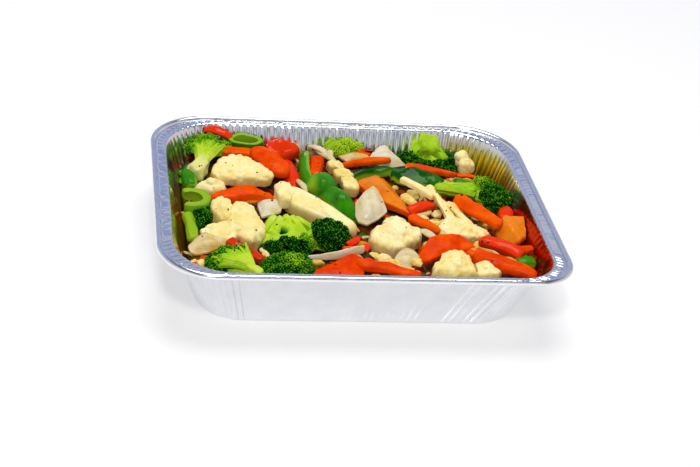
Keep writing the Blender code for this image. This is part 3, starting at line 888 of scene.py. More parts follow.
def boiled_carrot():
    made, tree = start(
        "boiled_carrot",
        Subsurface_Weight=0.1,
        Subsurface_Scale=0.002,
        Coat_Weight=0.07,
        Coat_Roughness=0.14,
        Specular_IOR_Level=0.0,
        Roughness=0.42,
    )
    own = add(tree, "Attribute", attribute_name="own").outputs["Vector"]
    luck = add(tree, "Attribute", attribute_name="chance").outputs["Fac"]
    cloud = add(tree, "TexNoise", {"Vector": own, "Scale": 1 / CARROT_CLOUD, "Detail": 3.0})
    mixed = add(tree, "Math", {0: luck, 1: 0.4, 2: cloud}, operation="MULTIPLY_ADD")
    orange = ((0.4, "#D43400"), (0.65, "#E84802"), (0.95, "#F26006"))
    tint = add(tree, "ValToRGB", {"Fac": mixed}, stops=orange)
    squeeze = add(tree, "Mapping", {"Vector": own, "Scale": (1 / CARROT_RING, 0.12, 0.12)})
    rings = add(tree, "TexNoise", {"Vector": squeeze, "Scale": 1.0, "Detail": 2.0})
    bump = add(tree, "Bump", {"Height": rings, "Strength": 0.18, "Distance": 0.35 * MM})
    return finished(made, Base_Color=tint, Normal=bump)


KINDS["carrot"] = boiled_carrot()

# %% Fourteen carrot batons and wedges
put("carrot", 1, baton(26, 13, 12, seed=1), -50)
put("carrot", 2, baton(30, 10, 7, 0.6, seed=2), -46)
put("carrot", 3, baton(36, 14, 12, seed=3), -7)
flat = (
    (-17, 15), (-11, 21), (-3, 20), (7, 10), (15, -4), (17, -14), (12, -21), (3, -20), (-6, -9), (-14, 4),
)
put("carrot", 4, chunk(flat, 9, 3.5, 2, 2.5, seed=4), 0, 0, 6, luck=0.3)
put("carrot", 5, baton(34, 13, 12, 0.9, seed=5), -102)
hump = (
    (-27, -3), (-22, 1), (-10, 4), (4, 9), (10, 8), (18, 3), (27, -1), (26, -5), (8, -5), (-8, -8),
    (-26, -8),
)
put("carrot", 6, folded(folded(chunk(hump, 9, 2.5, 1, 1.2, seed=6), 5, 8, 0.25), 175, 4, 0.15), 0, 0, 8)
put("carrot", 7, baton(46, 9, 7, 0.7, seed=7), 12)
put("carrot", 8, baton(46, 9, 8, seed=8), -12)
put("carrot", 9, baton(54, 14, 11, seed=9), -57)
wedge = ((-26, -17), (-20, -4), (-10, 12), (-1, 16), (16, 17), (27, 3), (20, -1), (3, -4), (-13, -13))
put("carrot", 10, chunk(wedge, 7, 2.5, 1, 1.2, seed=10), 0, 0, 16, luck=0.2)
put("carrot", 11, baton(54, 18, 13, 0.6, seed=11), -34)
put("carrot", 12, baton(52, 14, 9, 0.5, seed=12), -22, luck=0.15)
wedge = ((-25, -13), (-10, -2), (6, 9), (17, 17), (25, 15), (25, 2), (22, -14), (6, -17), (-12, -16))
put("carrot", 13, folded(chunk(wedge, 8, 2.5, 1, 1.2, seed=13), 0, 14, 0.35), 0, 0, 14, luck=0.0)
put("carrot", 14, baton(17, 10, 8, 0.7, seed=14), 15)

# %% [markdown]
# ## Peppers
#
# *Sweet pepper, cut in strips and fried.* The skin is a thin waxy film over wet flesh: deep in colour
# and as glossy as lacquer, with soft folds along its length. The cut faces are paler and duller. Two
# materials would part them with a hard line, so one material goes by *tone* from flesh to skin. All
# three colours share this recipe with other colours in it. The gloss is a coat, as the wax is.

# %% Pepper materials
# Clouds of colour, and the distance between the soft folds that run along a strip.
PEPPER_CLOUD, PEPPER_FOLD = 12.0, 5.0


def fried_pepper(name, dark, bright, flesh):
    made, tree = start(
        name,
        Subsurface_Weight=0.04,
        Subsurface_Scale=0.002,
        Coat_Weight=0.3,
        Coat_Roughness=0.06,
        Specular_IOR_Level=0.0,
    )
    own = add(tree, "Attribute", attribute_name="own").outputs["Vector"]
    luck = add(tree, "Attribute", attribute_name="chance").outputs["Fac"]
    tone = add(tree, "Attribute", attribute_name="tone").outputs["Fac"]
    cloud = add(tree, "TexNoise", {"Vector": own, "Scale": 1 / PEPPER_CLOUD, "Detail": 2.0})
    share = add(tree, "Math", {0: cloud, 1: luck}, operation="ADD")
    skin = add(tree, "ValToRGB", {"Fac": share}, stops=((0.45, dark), (1.0, bright)))
    paint = add(tree, "Mix", {0: tone, 6: flesh, 7: skin}, data_type="RGBA")
    rough = add(tree, "MapRange", {"Value": tone, "To Min": 0.42, "To Max": 0.2})
    squeeze = add(tree, "Mapping", {"Vector": own, "Scale": (0.06, 1 / PEPPER_FOLD, 1 / PEPPER_FOLD)})
    folds = add(tree, "TexNoise", {"Vector": squeeze, "Scale": 1.0, "Detail": 2.0})
    bump = add(tree, "Bump", {"Height": folds, "Strength": 0.4, "Distance": 0.8 * MM})
    return finished(made, Base_Color=paint, Roughness=rough, Normal=bump)


for kind, dark, bright, flesh in (
    ("red_pepper", "#A80A02", "#E83608", "#CC3408"),
    ("green_pepper", "#0C4A06", "#3A8A0A", "#8CB41E"),
    ("orange_pepper", "#BC3204", "#EA8416", "#D24A06"),
):
    KINDS[kind] = fried_pepper(f"fried_{kind}", dark, bright, flesh)

# %% Red pepper strips
put("red_pepper", 1, slab(52, 13, 4, 20, 3, seed=1), -86, 0, 10)
put("red_pepper", 2, slab(24, 15, 5, 40, 4, seed=2), 80, 0, 25)
put("red_pepper", 3, baton(38, 12, 10, seed=3), -48)
put("red_pepper", 4, slab(28, 11, 4, 30, 2, (0.9, 0.6), seed=4), 28)
put("red_pepper", 5, slab(27, 8, 2.5, 60, 1, seed=5), -28, 0, 25)
block = ((-16, -5), (-13, 9), (-5, 12), (4, 11), (12, 7), (16, 2), (13, -4), (3, -9), (-10, -12))
put("red_pepper", 6, folded(chunk(block, 14, 5, 4, 2, seed=6), -80, -1, 0.4), luck=1.0)
put("red_pepper", 7, slab(38, 14, 5, 30, 3, (0.8, 0.9), seed=7), -40)

# %% Orange pepper pieces
plate = ((-12, 5), (-4, 17), (8, 16), (17, 13), (16, -7), (2, -17), (-11, -17), (-14, -8))
block = folded(chunk(plate, 9, 3, 2.5, 2.2, seed=1, wild=1.8), 200, 4, 0.5)
put("orange_pepper", 1, block, 0, 0, 14, (1.5, 0, 0))
plate = (
    (-21, 14), (-11, 23), (3, 31), (9, 26), (14, 12), (18, -6), (21, -31), (12, -30), (2, -20), (-7, -10),
    (-17, 7),
)
put("orange_pepper", 2, folded(chunk(plate, 8, 2, 2, 1, seed=2), 15, 6, 0.5))

# %% A hoop of green pepper
HOOP_STEPS = 72
# A pepper has three or four chambers, and each bulges a little.
HOOP_LOBES = 3


def hoop(length, width, wall, height, seed=1):
    """A slice across a pepper: an oval hoop with soft lobes, skin outside and flesh within."""
    across, depth, tone = slab_section(7).T
    angle = np.linspace(0, 2 * math.pi, HOOP_STEPS, endpoint=False)
    lobes = 1 + 0.04 * np.cos(HOOP_LOBES * angle + seed)
    spoke = np.stack([np.cos(angle), np.sin(angle), np.zeros(HOOP_STEPS)], 1)
    outer = spoke * np.stack([lobes * length / 2, lobes * width / 2, lobes], 1)
    rows = outer[:, None] + spoke[:, None] * (depth * wall)[None, :, None]
    rows[..., 2] = across * height / 2
    sides = len(tone)
    index = np.arange(HOOP_STEPS * sides).reshape(HOOP_STEPS, sides)
    ahead, after = np.roll(index, -1, axis=0), np.roll(index, -1, axis=1)
    faces = np.stack([index, ahead, np.roll(ahead, -1, axis=1), after], axis=-1).reshape(-1, 4).tolist()
    whole = part(rows.reshape(-1, 3), faces, np.tile(tone, HOOP_STEPS))
    return rough_up(whole, 12, 1.4, seed)


print("points on a hoop:", HOOP_STEPS * len(slab_section(7)))

# %% Green pepper strips and the hoop
put("green_pepper", 1, slab(18, 12, 5, 20, 2, seed=1), 5)
put("green_pepper", 2, slab(60, 11, 5, 30, 3, seed=2, ripple=1.7), 16, 0, -20, luck=0.0)
put("green_pepper", 3, slab(33, 13, 5, 30, 4, seed=3), 90, 0, -35)
put("green_pepper", 4, baton(34, 11, 8, seed=4), -88, -6)
put("green_pepper", 5, hoop(31, 22, 4, 8, seed=8), luck=0.3)
put("green_pepper", 6, slab(60, 12, 4, 20, 2, seed=6), -93, 0, 60)
# An end of a pepper shows mostly its pale inside, so the hook's skin tone is turned down.
hook = slab(63, 9, 6, 240, 1, (1, 1), seed=7, rings=60)
hook["tone"] = hook["tone"] * 0.35
put("green_pepper", 7, hook, 90, 0, 90)

# %% Green pepper bulb with its tail, and the widest strip
bulb = lump((-14, 29, -2.5), (13, 14, 12), 30, 0.6, seed=2, level=5)
bulb["tone"] = np.clip((bulb["points"][:, 0] + 26) / 8, 0.2, 1)
tail = turned(folded(slab(44, 21, 5, 40, 7, (0.9, 0.8), seed=8), 0, 4, 0.45), -2, 4, 0, -65)
put("green_pepper", 8, [bulb, tail], shift=(-2, 4, 0), luck=0.35)
put("green_pepper", 9, slab(50, 20, 5, 40, 5, (0.35, 0.7), seed=9, ripple=2.4), -15, luck=0.0)

# %% [markdown]
# ## Onion
#
# *White onion, in petals.* A petal is a leaf of the bulb: thin, wet and nearly clear once it is fried,
# with fine veins from root to tip. True glass-like clearness would show the bed through it, which real
# petals hardly do, so it is a pale skin that light spreads in, and it picks up the yellow of the oil.

# %% Onion material
# The veins are about a millimetre apart on a real petal, and drawn a little wider to show.
VEIN_GAP = 1.6


def fried_onion():
    made, tree = start(
        "fried_onion",
        Subsurface_Weight=0.15,
        Subsurface_Scale=0.003,
        Subsurface_Radius=(1.0, 0.9, 0.7),
        Coat_Weight=0.2,
        Coat_Roughness=0.12,
        Specular_IOR_Level=0.0,
        Roughness=0.4,
    )
    own = add(tree, "Attribute", attribute_name="own").outputs["Vector"]
    luck = add(tree, "Attribute", attribute_name="chance").outputs["Fac"]
    squeeze = add(tree, "Mapping", {"Vector": own, "Scale": (0.03, 1 / VEIN_GAP, 0.2)})
    veins = add(tree, "TexNoise", {"Vector": squeeze, "Scale": 1.0, "Detail": 2.0})
    cloud = add(tree, "TexNoise", {"Vector": own, "Scale": 0.08, "Detail": 2.0})
    stain = add(tree, "Math", {0: luck, 1: 0.45, 2: cloud}, operation="MULTIPLY_ADD")
    oily = ((0.45, "#E4DCC4"), (0.75, "#DCC890"), (1.0, "#D0A44A"))
    warm = add(tree, "ValToRGB", {"Fac": stain}, stops=oily)
    line = add(tree, "ValToRGB", {"Fac": veins}, stops=((0.35, "#E4E0CC"), (0.55, "#FFFFFF")))
    both = {0: 0.4, 6: warm, 7: line}
    paint = add(tree, "Mix", both, data_type="RGBA", blend_type="MULTIPLY")
    bump = add(tree, "Bump", {"Height": veins, "Strength": 0.25, "Distance": 0.3 * MM})
    return finished(made, Base_Color=paint, Normal=bump)


KINDS["onion"] = fried_onion()

# %% Small onion petals
LEAF = 2.4


def leaf(outline, arch, seed, wild=1.0):
    """A petal: a thin arched chunk that is skin all over."""
    return chunk(outline, arch + LEAF, 0.9, arch, 0.9, (1.0, 1.0), seed, wild)


petal = ((-17, -5), (-10, 5), (-3, 13), (6, 8), (17, 3), (12, -4), (4, -9), (-8, -13), (-15, -11))
put("onion", 1, leaf(petal, 4, 1), 0, 0, 12, luck=0.75)
put("onion", 2, leaf(((-17, 1), (-8, 6), (3, 7), (17, -1), (8, -6), (-10, -6)), 3, 2), 0, 0, 12)
petal = ((-11, 5), (-6, 16), (4, 14), (11, 4), (8, -7), (-1, -13), (-8, -16), (-10, -5))
put("onion", 3, leaf(petal, 4, 3), 0, 0, 6, luck=0.1)

# %% Frayed layers of onion
# Each strand's length, width and bend, its place beside the others and its heading.
strands = []
for seed, (length, width, bend, *place) in enumerate(
    (
        (36, 9, 30, 0, 0, 0, -66),
        (30, 6, 50, -4, 3, 1.5, -52),
        (24, 5, 60, 5, 4, 1.0, -84),
        (20, 7, 20, 3, -9, 0.5, -58),
    )
):
    strands.append(turned(slab(length, width, 1.4, bend, 1.5, (0.5, 0.4), seed, 0.9, 5, 20), *place))
put("onion", 4, strands, luck=0.25)

# %% Large onion petals and a long strip
petal = ((-18, -8), (-12, 2), (-4, 11), (1, 12), (7, 4), (18, -10), (5, -13), (-8, -12))
put("onion", 5, leaf(petal, 5, 5), 0, 0, 22, luck=0.1)
petal = (
    (23, -5), (16, 3), (4, 12), (-10, 13), (-17, 11), (-20, 4), (-13, -6), (-5, -14), (2, -13), (11, -11),
    (18, -9),
)
put("onion", 6, leaf(petal, 7, 6, wild=0.5), 90, 20, 0, luck=0.25)
petal = ((-11, -3), (-5, 9), (1, 14), (7, 13), (11, 4), (6, -5), (0, -13), (-7, -14))
put("onion", 7, leaf(petal, 5, 7), 0, 0, 8)
put("onion", 8, slab(58, 7, 1.3, 75, 0.5, (0.15, 0.9), 8, ripple=0.9), 17, 0, 75, luck=0.2)

# %% [markdown]
# ## Cauliflower
#
# *Steamed cauliflower curd.* A head is thousands of tight cream buds in rounded clusters. Modelling
# every bud would take millions of faces for a surface that looks almost smooth, so the clusters are
# pushed out of a chunk's skin and the buds are a fine bump. Cream light spreads inside them. The creases
# between clusters and the sides of each piece are painted darker and golden: painted shade.

# %% Cauliflower material
# Stains, single buds, and the small clusters that they form. Real buds are under a millimetre across,
# and are drawn coarser to show.
CURD_CLOUD, CURD_BUD, CURD_CELL = 14.0, 1.5, 3.4


def steamed_curd():
    made, tree = start(
        "steamed_curd",
        Subsurface_Weight=0.12,
        Subsurface_Scale=0.003,
        Subsurface_Radius=(1.0, 0.9, 0.6),
        Coat_Weight=0.03,
        Coat_Roughness=0.2,
        Specular_IOR_Level=0.0,
        Roughness=0.6,
    )
    own = add(tree, "Attribute", attribute_name="own").outputs["Vector"]
    tone = add(tree, "Attribute", attribute_name="tone").outputs["Fac"]
    luck = add(tree, "Attribute", attribute_name="chance").outputs["Fac"]
    patchy = {"Vector": own, "Scale": 1 / CURD_CLOUD, "Detail": 6.0, "Roughness": 0.65}
    cloud = add(tree, "TexNoise", patchy)
    stain = add(tree, "Math", {0: luck, 1: 0.3, 2: cloud}, operation="MULTIPLY_ADD")
    creams = ((0.38, "#FFF4C2"), (0.58, "#F8E69C"), (0.85, "#EACA60"))
    cream = add(tree, "ValToRGB", {"Fac": stain}, stops=creams)
    # Creases and the sides of a piece have a higher tone, painted darker and golden: painted shade.
    deep_and_painted_shade = add(tree, "ValToRGB", {"Fac": tone}, stops=((0.4, "#FFFFFF"), (0.95, "#BC8E28")))
    both = {0: 0.75, 6: cream, 7: deep_and_painted_shade}
    paint = add(tree, "Mix", both, data_type="RGBA", blend_type="MULTIPLY")
    # The clusters are bent by noise, so as not to look like tiles, and their seams get painted shade.
    bent = add(tree, "TexNoise", {"Vector": own, "Scale": 0.3}).outputs["Color"]
    spot = add(tree, "VectorMath", {0: bent, 1: (2.5, 2.5, 2.5), 2: own}, operation="MULTIPLY_ADD")
    closely = {"Vector": spot, "Scale": 1 / CURD_CELL}
    cells = add(tree, "TexVoronoi", closely, feature="SMOOTH_F1")
    edges = {"Value": cells, "From Min": 0.4, "From Max": 0.8, "To Max": 0.1}
    painted_seam_shade = add(tree, "MapRange", edges)
    curds = add(tree, "Mix", {0: painted_seam_shade, 6: paint, 7: "#B8963A"}, data_type="RGBA")
    buds = add(tree, "TexVoronoi", {"Vector": own, "Scale": 1 / CURD_BUD}, feature="SMOOTH_F1")
    # Cut flesh is smooth, so the clusters fade out where the tone is that of a cut.
    fading = {"Value": tone, "From Min": 0.2, "From Max": 0.3, "To Min": 0.4, "To Max": 0.04}
    ripe = add(tree, "MapRange", fading)
    swelling = {"Height": cells, "Strength": ripe, "Distance": 0.9 * MM}
    swell = add(tree, "Bump", swelling, invert=True)
    pebbles = {"Height": buds, "Strength": 0.4, "Distance": 0.4 * MM, "Normal": swell}
    bump = add(tree, "Bump", pebbles, invert=True)
    return finished(made, Base_Color=curds, Normal=bump)


KINDS["cauliflower"] = steamed_curd()

# %% Cauliflower slabs and heads
# The tones of a piece's top and of its sides. The sides' higher tone is painted darker: painted shade.
CURD_TONES_SHADED_SIDES = (0.0, 0.65)
CURD_SIDES, CURD_RINGS = 116, 16


def curd(outline, height, edge, arch, seed, centre=(0, 0, 0), tones=CURD_TONES_SHADED_SIDES, cell=5.0, depth=1.0):
    """A piece of a head, cut to an outline, with clusters of a size and a depth."""
    body = chunk(outline, height, edge, arch, 1.0, tones, seed, 1.0, CURD_SIDES, CURD_RINGS)
    body = rough_up(rough_up(body, 4.5, 0.9, seed + 7), 2.2, 0.22, seed + 9)
    return curdled(body, cell, depth, seed, centre)


end = ((-8, 12), (-2, 11), (5, 3), (10, -5), (7, -11), (-5, -12), (-10, -7))
put("cauliflower", 1, curd(end, 14, 4, 3, 1))
small = ((-14, 0), (-9, 7), (-1, 10), (8, 9), (14, 2), (11, -6), (3, -10), (-5, -8), (-12, -5))
put("cauliflower", 2, curd(small, 13, 6, 4, 2))
broad = (
    (-28, -7), (-25, 6), (-18, 14), (-10, 18), (-1, 18), (7, 13), (13, 6), (20, 0), (25, -9), (22, -15),
    (13, -17), (3, -18), (-8, -18), (-20, -16), (-26, -13),
)
put("cauliflower", 3, curd(broad, 13, 4, 3, 3, cell=4.5, depth=1.4), 0, 0, 8, luck=0.2)
bulk = (
    (-24, -8), (-22, -1), (-17, 3), (-9, 4), (-9, 12), (-6, 20), (0, 25), (7, 25), (12, 20), (12, 12),
    (11, 5), (19, 3), (21, -5), (17, -12), (9, -18), (2, -24), (-6, -25), (-13, -23), (-20, -18),
    (-24, -14),
)
put("cauliflower", 7, folded(curd(bulk, 21, 6, 6, 7, depth=1.2), 80, 5, 0.35), 0, 0, 8, luck=0.1)
pair = [lump((0, 5, 1), (7, 8, 8), 6, 0.8, 8), lump((2, -5, -1), (8, 8, 8), 6, 0.8, 9, tone=0.3)]
put("cauliflower", 8, pair)
slice_ = (
    (-20, -12), (-18, -3), (-12, 1), (-10, 10), (-3, 15), (5, 15), (11, 12), (14, 5), (15, -4), (16, -14),
    (0, -16), (-12, -16),
)
put("cauliflower", 9, curd(slice_, 18, 6, 4, 10, cell=5, depth=1.6), 0, 0, 6, luck=0.5)

# %% The forked head and the cut stalk
arm = ((-28, 0), (-22, 6), (-11, 10), (0, 13), (6, 4), (2, -8), (-3, -14), (-13, -15), (-23, -13))
lobe = (
    (-17, 8), (-13, 14), (-8, 15), (-2, 12), (0, 5), (-1, -7), (-3, -15), (-10, -14), (-17, -7), (-18, 1)
)
body = (
    (1, 26), (5, 28), (11, 27), (17, 22), (19, 13), (21, 4), (25, -5), (25, -16), (19, -24), (12, -27),
    (6, -25), (2, -18), (-5, -16), (-7, 1), (-3, 14),
)
fork = [
    curd(arm, 12, 4, 2, 13, (0, -13, -16), (0.1, 0.75), 6, 0.9),
    curd(lobe, 16, 5, 3, 11, (0, 12, -15), cell=4.2, depth=1.6),
    curd(body, 20, 7, 3, 12, (0, -3, -20), cell=4.5, depth=1.7),
]
put("cauliflower", 4, fork, 0, 0, 6, luck=0.35)

plank = (
    (-26, 28), (-16, 35), (-6, 27), (5, 13), (16, -3), (25, -17), (32, -27), (32, -33), (25, -37),
    (17, -35), (8, -24), (-3, -13), (-15, -4), (-24, 8),
)
flap = ((-31, 10), (-30, 20), (-24, 26), (-17, 22), (-14, 6), (-20, -6), (-28, -4))
cut = curdled(chunk(plank, 16, 6, 4, 2.5, (0.3, 0.85), 5, 0.6), 20, 0.2, 5, (0, 0, -17))
put("cauliflower", 5, [cut, curd(flap, 14, 4, 2, 15, (0, 8, -13))], luck=0.1)

# %% A row of florets and the branched stalk
row = []
for seed, outline, height, tone, centre in (
    (15, ((-8, 4), (-2, 9), (6, 5), (8, -5), (2, -9), (-6, -5)), 10, 0.35, (-4, 16, -10)),
    (16, ((-8, 6), (-1, 9), (7, 6), (9, -4), (4, -9), (-7, -7)), 11, 0.25, (0, 1, -11)),
    (17, ((-6, 9), (3, 11), (8, 4), (9, -7), (5, -12), (-5, -10)), 12, 0.15, (3, -14, -12)),
):
    row.append(curd(outline, height, 3, 2, seed, centre, (tone, 0.8), 8, 0.4))
put("cauliflower", 6, row, luck=0.6)

# The stalk's flesh is a little darker at its cut end.
PALE = (0.4, 0.3)
spray = (
    (-10, -24), (-5, -15), (1, -9), (9, -8), (15, -12), (19, -20), (25, -27), (32, -36), (27, -41),
    (15, -43), (5, -42), (-4, -41), (-10, -36), (-13, -30),
)
branched = [
    curd(spray, 12, 4, 3, 18, (0, 0, -12), (0.0, 0.8), 4, 2.2),
    stem(((-31, 40, 2), (-20, 27, 3), (-8, 12, 1)), (3.4, 3.7, 3.6), PALE, 14, 20, 0.1, 3, 0.9),
    stem(((-10, 25, 3), (-5, 4, 5), (5, -26, -7)), (2.4, 2.4, 3.2, 5), PALE, 14, 30, 0.2, 4, 0.9),
    stem(((-4, 2, 2), (5, -6, 4), (18, -24, -7)), (1.8, 2.0, 3.4), PALE, 12, 18, 0.2, 5),
    lump((-9, 26, 2), (4.2, 3.2, 2.6), 3.0, 0.9, 21, 4),
]
put("cauliflower", 10, branched, luck=0.3)

# %% [markdown]
# ## Broccoli
#
# *Blanched broccoli.* A floret is a tree: a thick stalk forks into branches, each branch carries a
# cluster, and each cluster is a dome of tight round buds. A bump could stand for the buds, as on the
# cauliflower, but these break up the outline of a head and catch the light one by one, so they are real
# geometry. The buds are deep green, the branches yellow-green, and the cut end of the stalk is nearly
# cream.
#
# A head is given as its solid's is, by a middle and three radii. Clusters are spread over the side that
# grows away from the stalk, and a branch runs to each from the fork. They are spread by the golden
# angle, which is how the plant itself spaces them.

# %% Broccoli material
# Patches of lighter and darker green along a stalk.
STALK_CLOUD = 6.0


def blanched_broccoli():
    made, tree = start(
        "blanched_broccoli", Coat_Weight=0.06, Coat_Roughness=0.15, Specular_IOR_Level=0.0, Roughness=0.5
    )
    own = add(tree, "Attribute", attribute_name="own").outputs["Vector"]
    tone = add(tree, "Attribute", attribute_name="tone").outputs["Fac"]
    patchy = {"Vector": own, "Scale": 1 / STALK_CLOUD, "Detail": 5.0, "Roughness": 0.7}
    cloud = add(tree, "TexNoise", patchy)
    drift = add(tree, "MapRange", {"Value": cloud, "To Min": -0.3, "To Max": 0.3})
    depth = add(tree, "Math", {0: tone, 1: drift}, operation="ADD")
    # From the cut end of the stalk, over the branches, to the buds and the shade between them.
    pale = ((0.0, "#E0DC8A"), (0.25, "#BCD632"), (0.5, "#80B818"))
    deep_and_painted_shade = ((0.7, "#348010"), (0.85, "#0E4408"), (1.0, "#031603"))
    greens_and_shade = add(tree, "ValToRGB", {"Fac": depth}, stops=pale + deep_and_painted_shade)
    return finished(made, Base_Color=greens_and_shade)


KINDS["broccoli"] = blanched_broccoli()

# %% Clusters of buds
# A bud's radius, in millimetres. Real ones are half as large, which would take four times as many.
BUD = 0.95
BUD_TONE, BUD_SPREAD = 0.76, 0.13
# Of the buds that would fit side by side over a cluster, this share is set, so that they press
# together.
PACKING = 0.82
GOLDEN_ANGLE = math.pi * (3 - math.sqrt(5))


def spread(count, seed):
    """Directions spread evenly over a ball, turned by the seed."""
    k = np.arange(count) + 0.5
    height = 1 - 2 * k / count
    angle = GOLDEN_ANGLE * k + seed
    wide = np.sqrt(1 - height**2)
    return np.stack([wide * np.cos(angle), wide * np.sin(angle), height], 1)


def buds(places, sizes, dark):
    """One small ball at each place, all in one part."""
    unit, faces = ball(1)
    points = places[:, None] + unit[None] * sizes[:, None, None]
    first = (np.arange(len(places)) * len(unit))[:, None, None]
    made = (np.array(faces)[None] + first).reshape(-1, 3).tolist()
    return part(points.reshape(-1, 3), made, np.repeat(dark, len(unit)))


def cluster_places(heads, seed, size, back, draw):
    """Where the clusters of some heads sit, and which way each grows."""
    centres, outs = [], []
    for x, y, z, along, across, up in heads:
        centre, radii = np.array([x, y, z], float), np.array([along, across, up], float)
        grow = centre / max(np.linalg.norm(centre), 1) + np.array([0, 0, 0.7])
        grow /= np.linalg.norm(grow)
        area = 4 * math.pi * (radii.prod() ** (2 / 3))
        ways = spread(max(5, int(area / (2.3 * size**2))), seed)
        for way in ways[ways @ grow > back]:
            centres.append(centre + way * (radii - size * 0.62) + draw.normal(0, 0.5, 3))
            outs.append(way)
    return np.array(centres), np.array(outs)


def crown(heads, fork, seed, size=4.0, light=0.0, back=-0.15, lift=0.0, spot=None):
    """Clusters over each head, with a branch to each.

    light turns the buds a brighter green, lift raises the branches over the clusters, and spot is a
    place and a radius where the buds are pale.
    """
    draw = np.random.default_rng(seed)
    centres, outs = cluster_places(heads, seed, size, back, draw)
    reach = size * draw.uniform(0.75, 1.2, len(centres))
    unit, faces = ball(3)
    parts = []
    for k, centre in enumerate(centres):
        # A ball under the buds, at a dark tone, fills the gaps between them with painted shade.
        parts.append(part(centre + unit * reach[k] * 0.92, faces, 1.0 - light))
        ways = spread(int(4 * reach[k] ** 2 / BUD**2 * PACKING), seed + k)
        ways = ways[ways @ outs[k] > -0.1]
        spots = centre + ways * (reach[k] * draw.uniform(0.96, 1.06, len(ways)))[:, None]
        # Buds that would lie inside another cluster are left out.
        gap = np.linalg.norm(spots[:, None] - centres[None], axis=2) / reach[None]
        gap[:, k] = 9
        spots = spots[gap.min(1) > 0.95]
        if len(spots):
            uneven = draw.uniform(-BUD_SPREAD, BUD_SPREAD, len(spots)) * (1 - 1.5 * light)
            dark = BUD_TONE - light + uneven
            if spot:
                near = np.linalg.norm(spots - np.array(spot[:3], float), axis=1) / spot[3]
                dark = dark - 0.4 * np.clip(1 - near, 0, 1)
            parts.append(buds(spots, BUD * draw.uniform(0.7, 1.1, len(spots)), dark))
    for k, centre in enumerate(centres):
        root = np.asarray(fork, float) + draw.normal(0, 0.8, 3)
        bend = root * 0.4 + centre * 0.6 - outs[k] * 1.5 + np.array([0, 0, lift])
        parts.append(stem((root, bend, centre), (2.6, 1.9, 1.4), (0.28, 0.5), sides=8, steps=9, seed=k))
    return parts


def stalk(length, cut, fork, tone):
    """The main stalk from its cut end to the fork at the origin."""
    path = ((-length, 0, 0), (-length / 2, 1.5, 1.5), (3, 0, 0))
    return stem(path, (cut, cut, fork), tone, 28, 22, 0.1)


def twigs(places, path, radii, tone, sides=10, steps=STEM_STEPS, ridges=0.1):
    """Thin stems side by side. path gives the three points of the one at a place."""
    return [stem(path(place), radii, tone, sides, steps, ridges, k) for k, place in enumerate(places)]


print("helpers ready: spread, buds, cluster_places, crown, stalk, twigs")

# %% Small florets and fans
put("broccoli", 1, crown([(0, 0, 0, 11, 9, 9)], (0, 0, -6), 1))

heads = [(15, 10, -1, 9, 9, 7), (25, 3, -1, 10, 10, 7), (20, -11, -2, 9, 8, 7)]
fan = crown(heads, (-2, 0, 1), 2, 2.2, 0.2, lift=3)
fan += twigs(
    (-13, -8, 6, 11),
    lambda y: ((-8, y * 0.2, 2), (4, y * 0.6, 5), (19, y, 4)),
    (3.4, 2.8, 1.8),
    (0.22, 0.4),
    ridges=0.14,
)
fan.append(stem(((-28, 3, 0), (-16, -1, 1), (0, 0, 1)), (8.5, 7, 5), (-0.2, 0.26), 24, 22, 0.14, 3))
put("broccoli", 2, fan, 74, 4)

heads = [(20, 14, -1, 8, 10, 8), (22, 3, 0, 8, 9, 8), (18, -8, -1, 7, 8, 7)]
fan = crown([(15, 1, -5, 11, 19, 5)], (-2, 0, -3), 33, 2.8, -0.02)
fan += crown(heads, (-2, 0, 1), 3, 2.2, 0.1, lift=5)
fan += twigs(
    (-15, -8, -1, 6, 14, 20),
    lambda y: ((-3, 0, 3), (8, y * 0.4, 7), (21, y, 6)),
    (2.6, 1.6, 1.0),
    (0.2, 0.4),
    sides=8,
    steps=14,
)
put("broccoli", 3, [*fan, stalk(14, 4.2, 5, (0.2, 0.3))], 128)

put("broccoli", 4, crown([(0, 0, 0, 20, 17, 13)], (0, 0, -9), 4, 4.2, 0.05, spot=(4, -4, 12, 11)), 8)

# %% The broad floret with its underside up
# Its underside is a pale plate of grown-together branches, with a hollow where the stalk was cut off.
plate = (
    (-29, -6), (-29, 5), (-20, 12), (-9, 16), (6, 19), (20, 14), (24, 0), (22, -14), (16, -26), (0, -23),
    (-20, -17),
)
# The hollow is painted at the darkest tone: painted shade.
plate = pressed(chunk(plate, 13, 5, 4, 1.5, (0.3, 0.5), 5, 1.4), 0, -8, 8, 12, 1.0)
plate["points"][:, 2] -= 9
ribs = twigs(
    (
        (-24, -8, 6, -26),
        (-22, -3, 16, -17),
        (-24, 2, 14, 2),
        (-22, 6, 14, 14),
        (-20, 9, 4, 24),
        (-2, -16, 16, -8),
    ),
    lambda ends: (
        (ends[0], ends[1], 0),
        ((ends[0] + ends[2]) / 2, (ends[1] + ends[3]) / 2, 2),
        (ends[2], ends[3], -2),
    ),
    (3.4, 3, 2),
    (0.2, 0.45),
)
dark = crown([(8, 29, -1, 17, 17, 13), (25, -9, -2, 8, 21, 10)], (8, 2, -4), 5, 4.2, -0.05)
bright = crown([(12, 10, -3, 7, 10, 6), (16, -12, -4, 5, 10, 6)], (0, 2, -4), 25, 2.4, 0.28)
put("broccoli", 5, [plate, *ribs, *dark, *bright], -83)

# %% Florets with a thick stalk, and a pale one
heads = [(5, -15, -3, 10, 12, 9), (15, 7, -3, 9, 15, 9), (15, -8, -3, 8, 11, 9), (2, 17, -4, 9, 10, 9)]
trunk = stem(((-19, 0, 3), (-10, 0, 3), (2, 0, 1)), (10, 10.5, 13), (0.3, 0.4), 30, 20, 0.2, 7)
upturned = [
    *crown(heads, (-4, 0, 0), 6, 4.0, -0.02, lift=2),
    rough_up(trunk, 5, 1.5, 7),
    stem(((-9, -5, 3), (-4, -11, 4), (3, -16, 2)), (6, 5, 4.5), (0.36, 0.5), 14, 12, 0.1, 8),
    stem(((-9, 5, 3), (0, 10, 4), (8, 15, 2)), (7, 5.5, 5), (0.36, 0.5), 14, 12, 0.1, 9),
]
put("broccoli", 6, upturned, -90, -12)

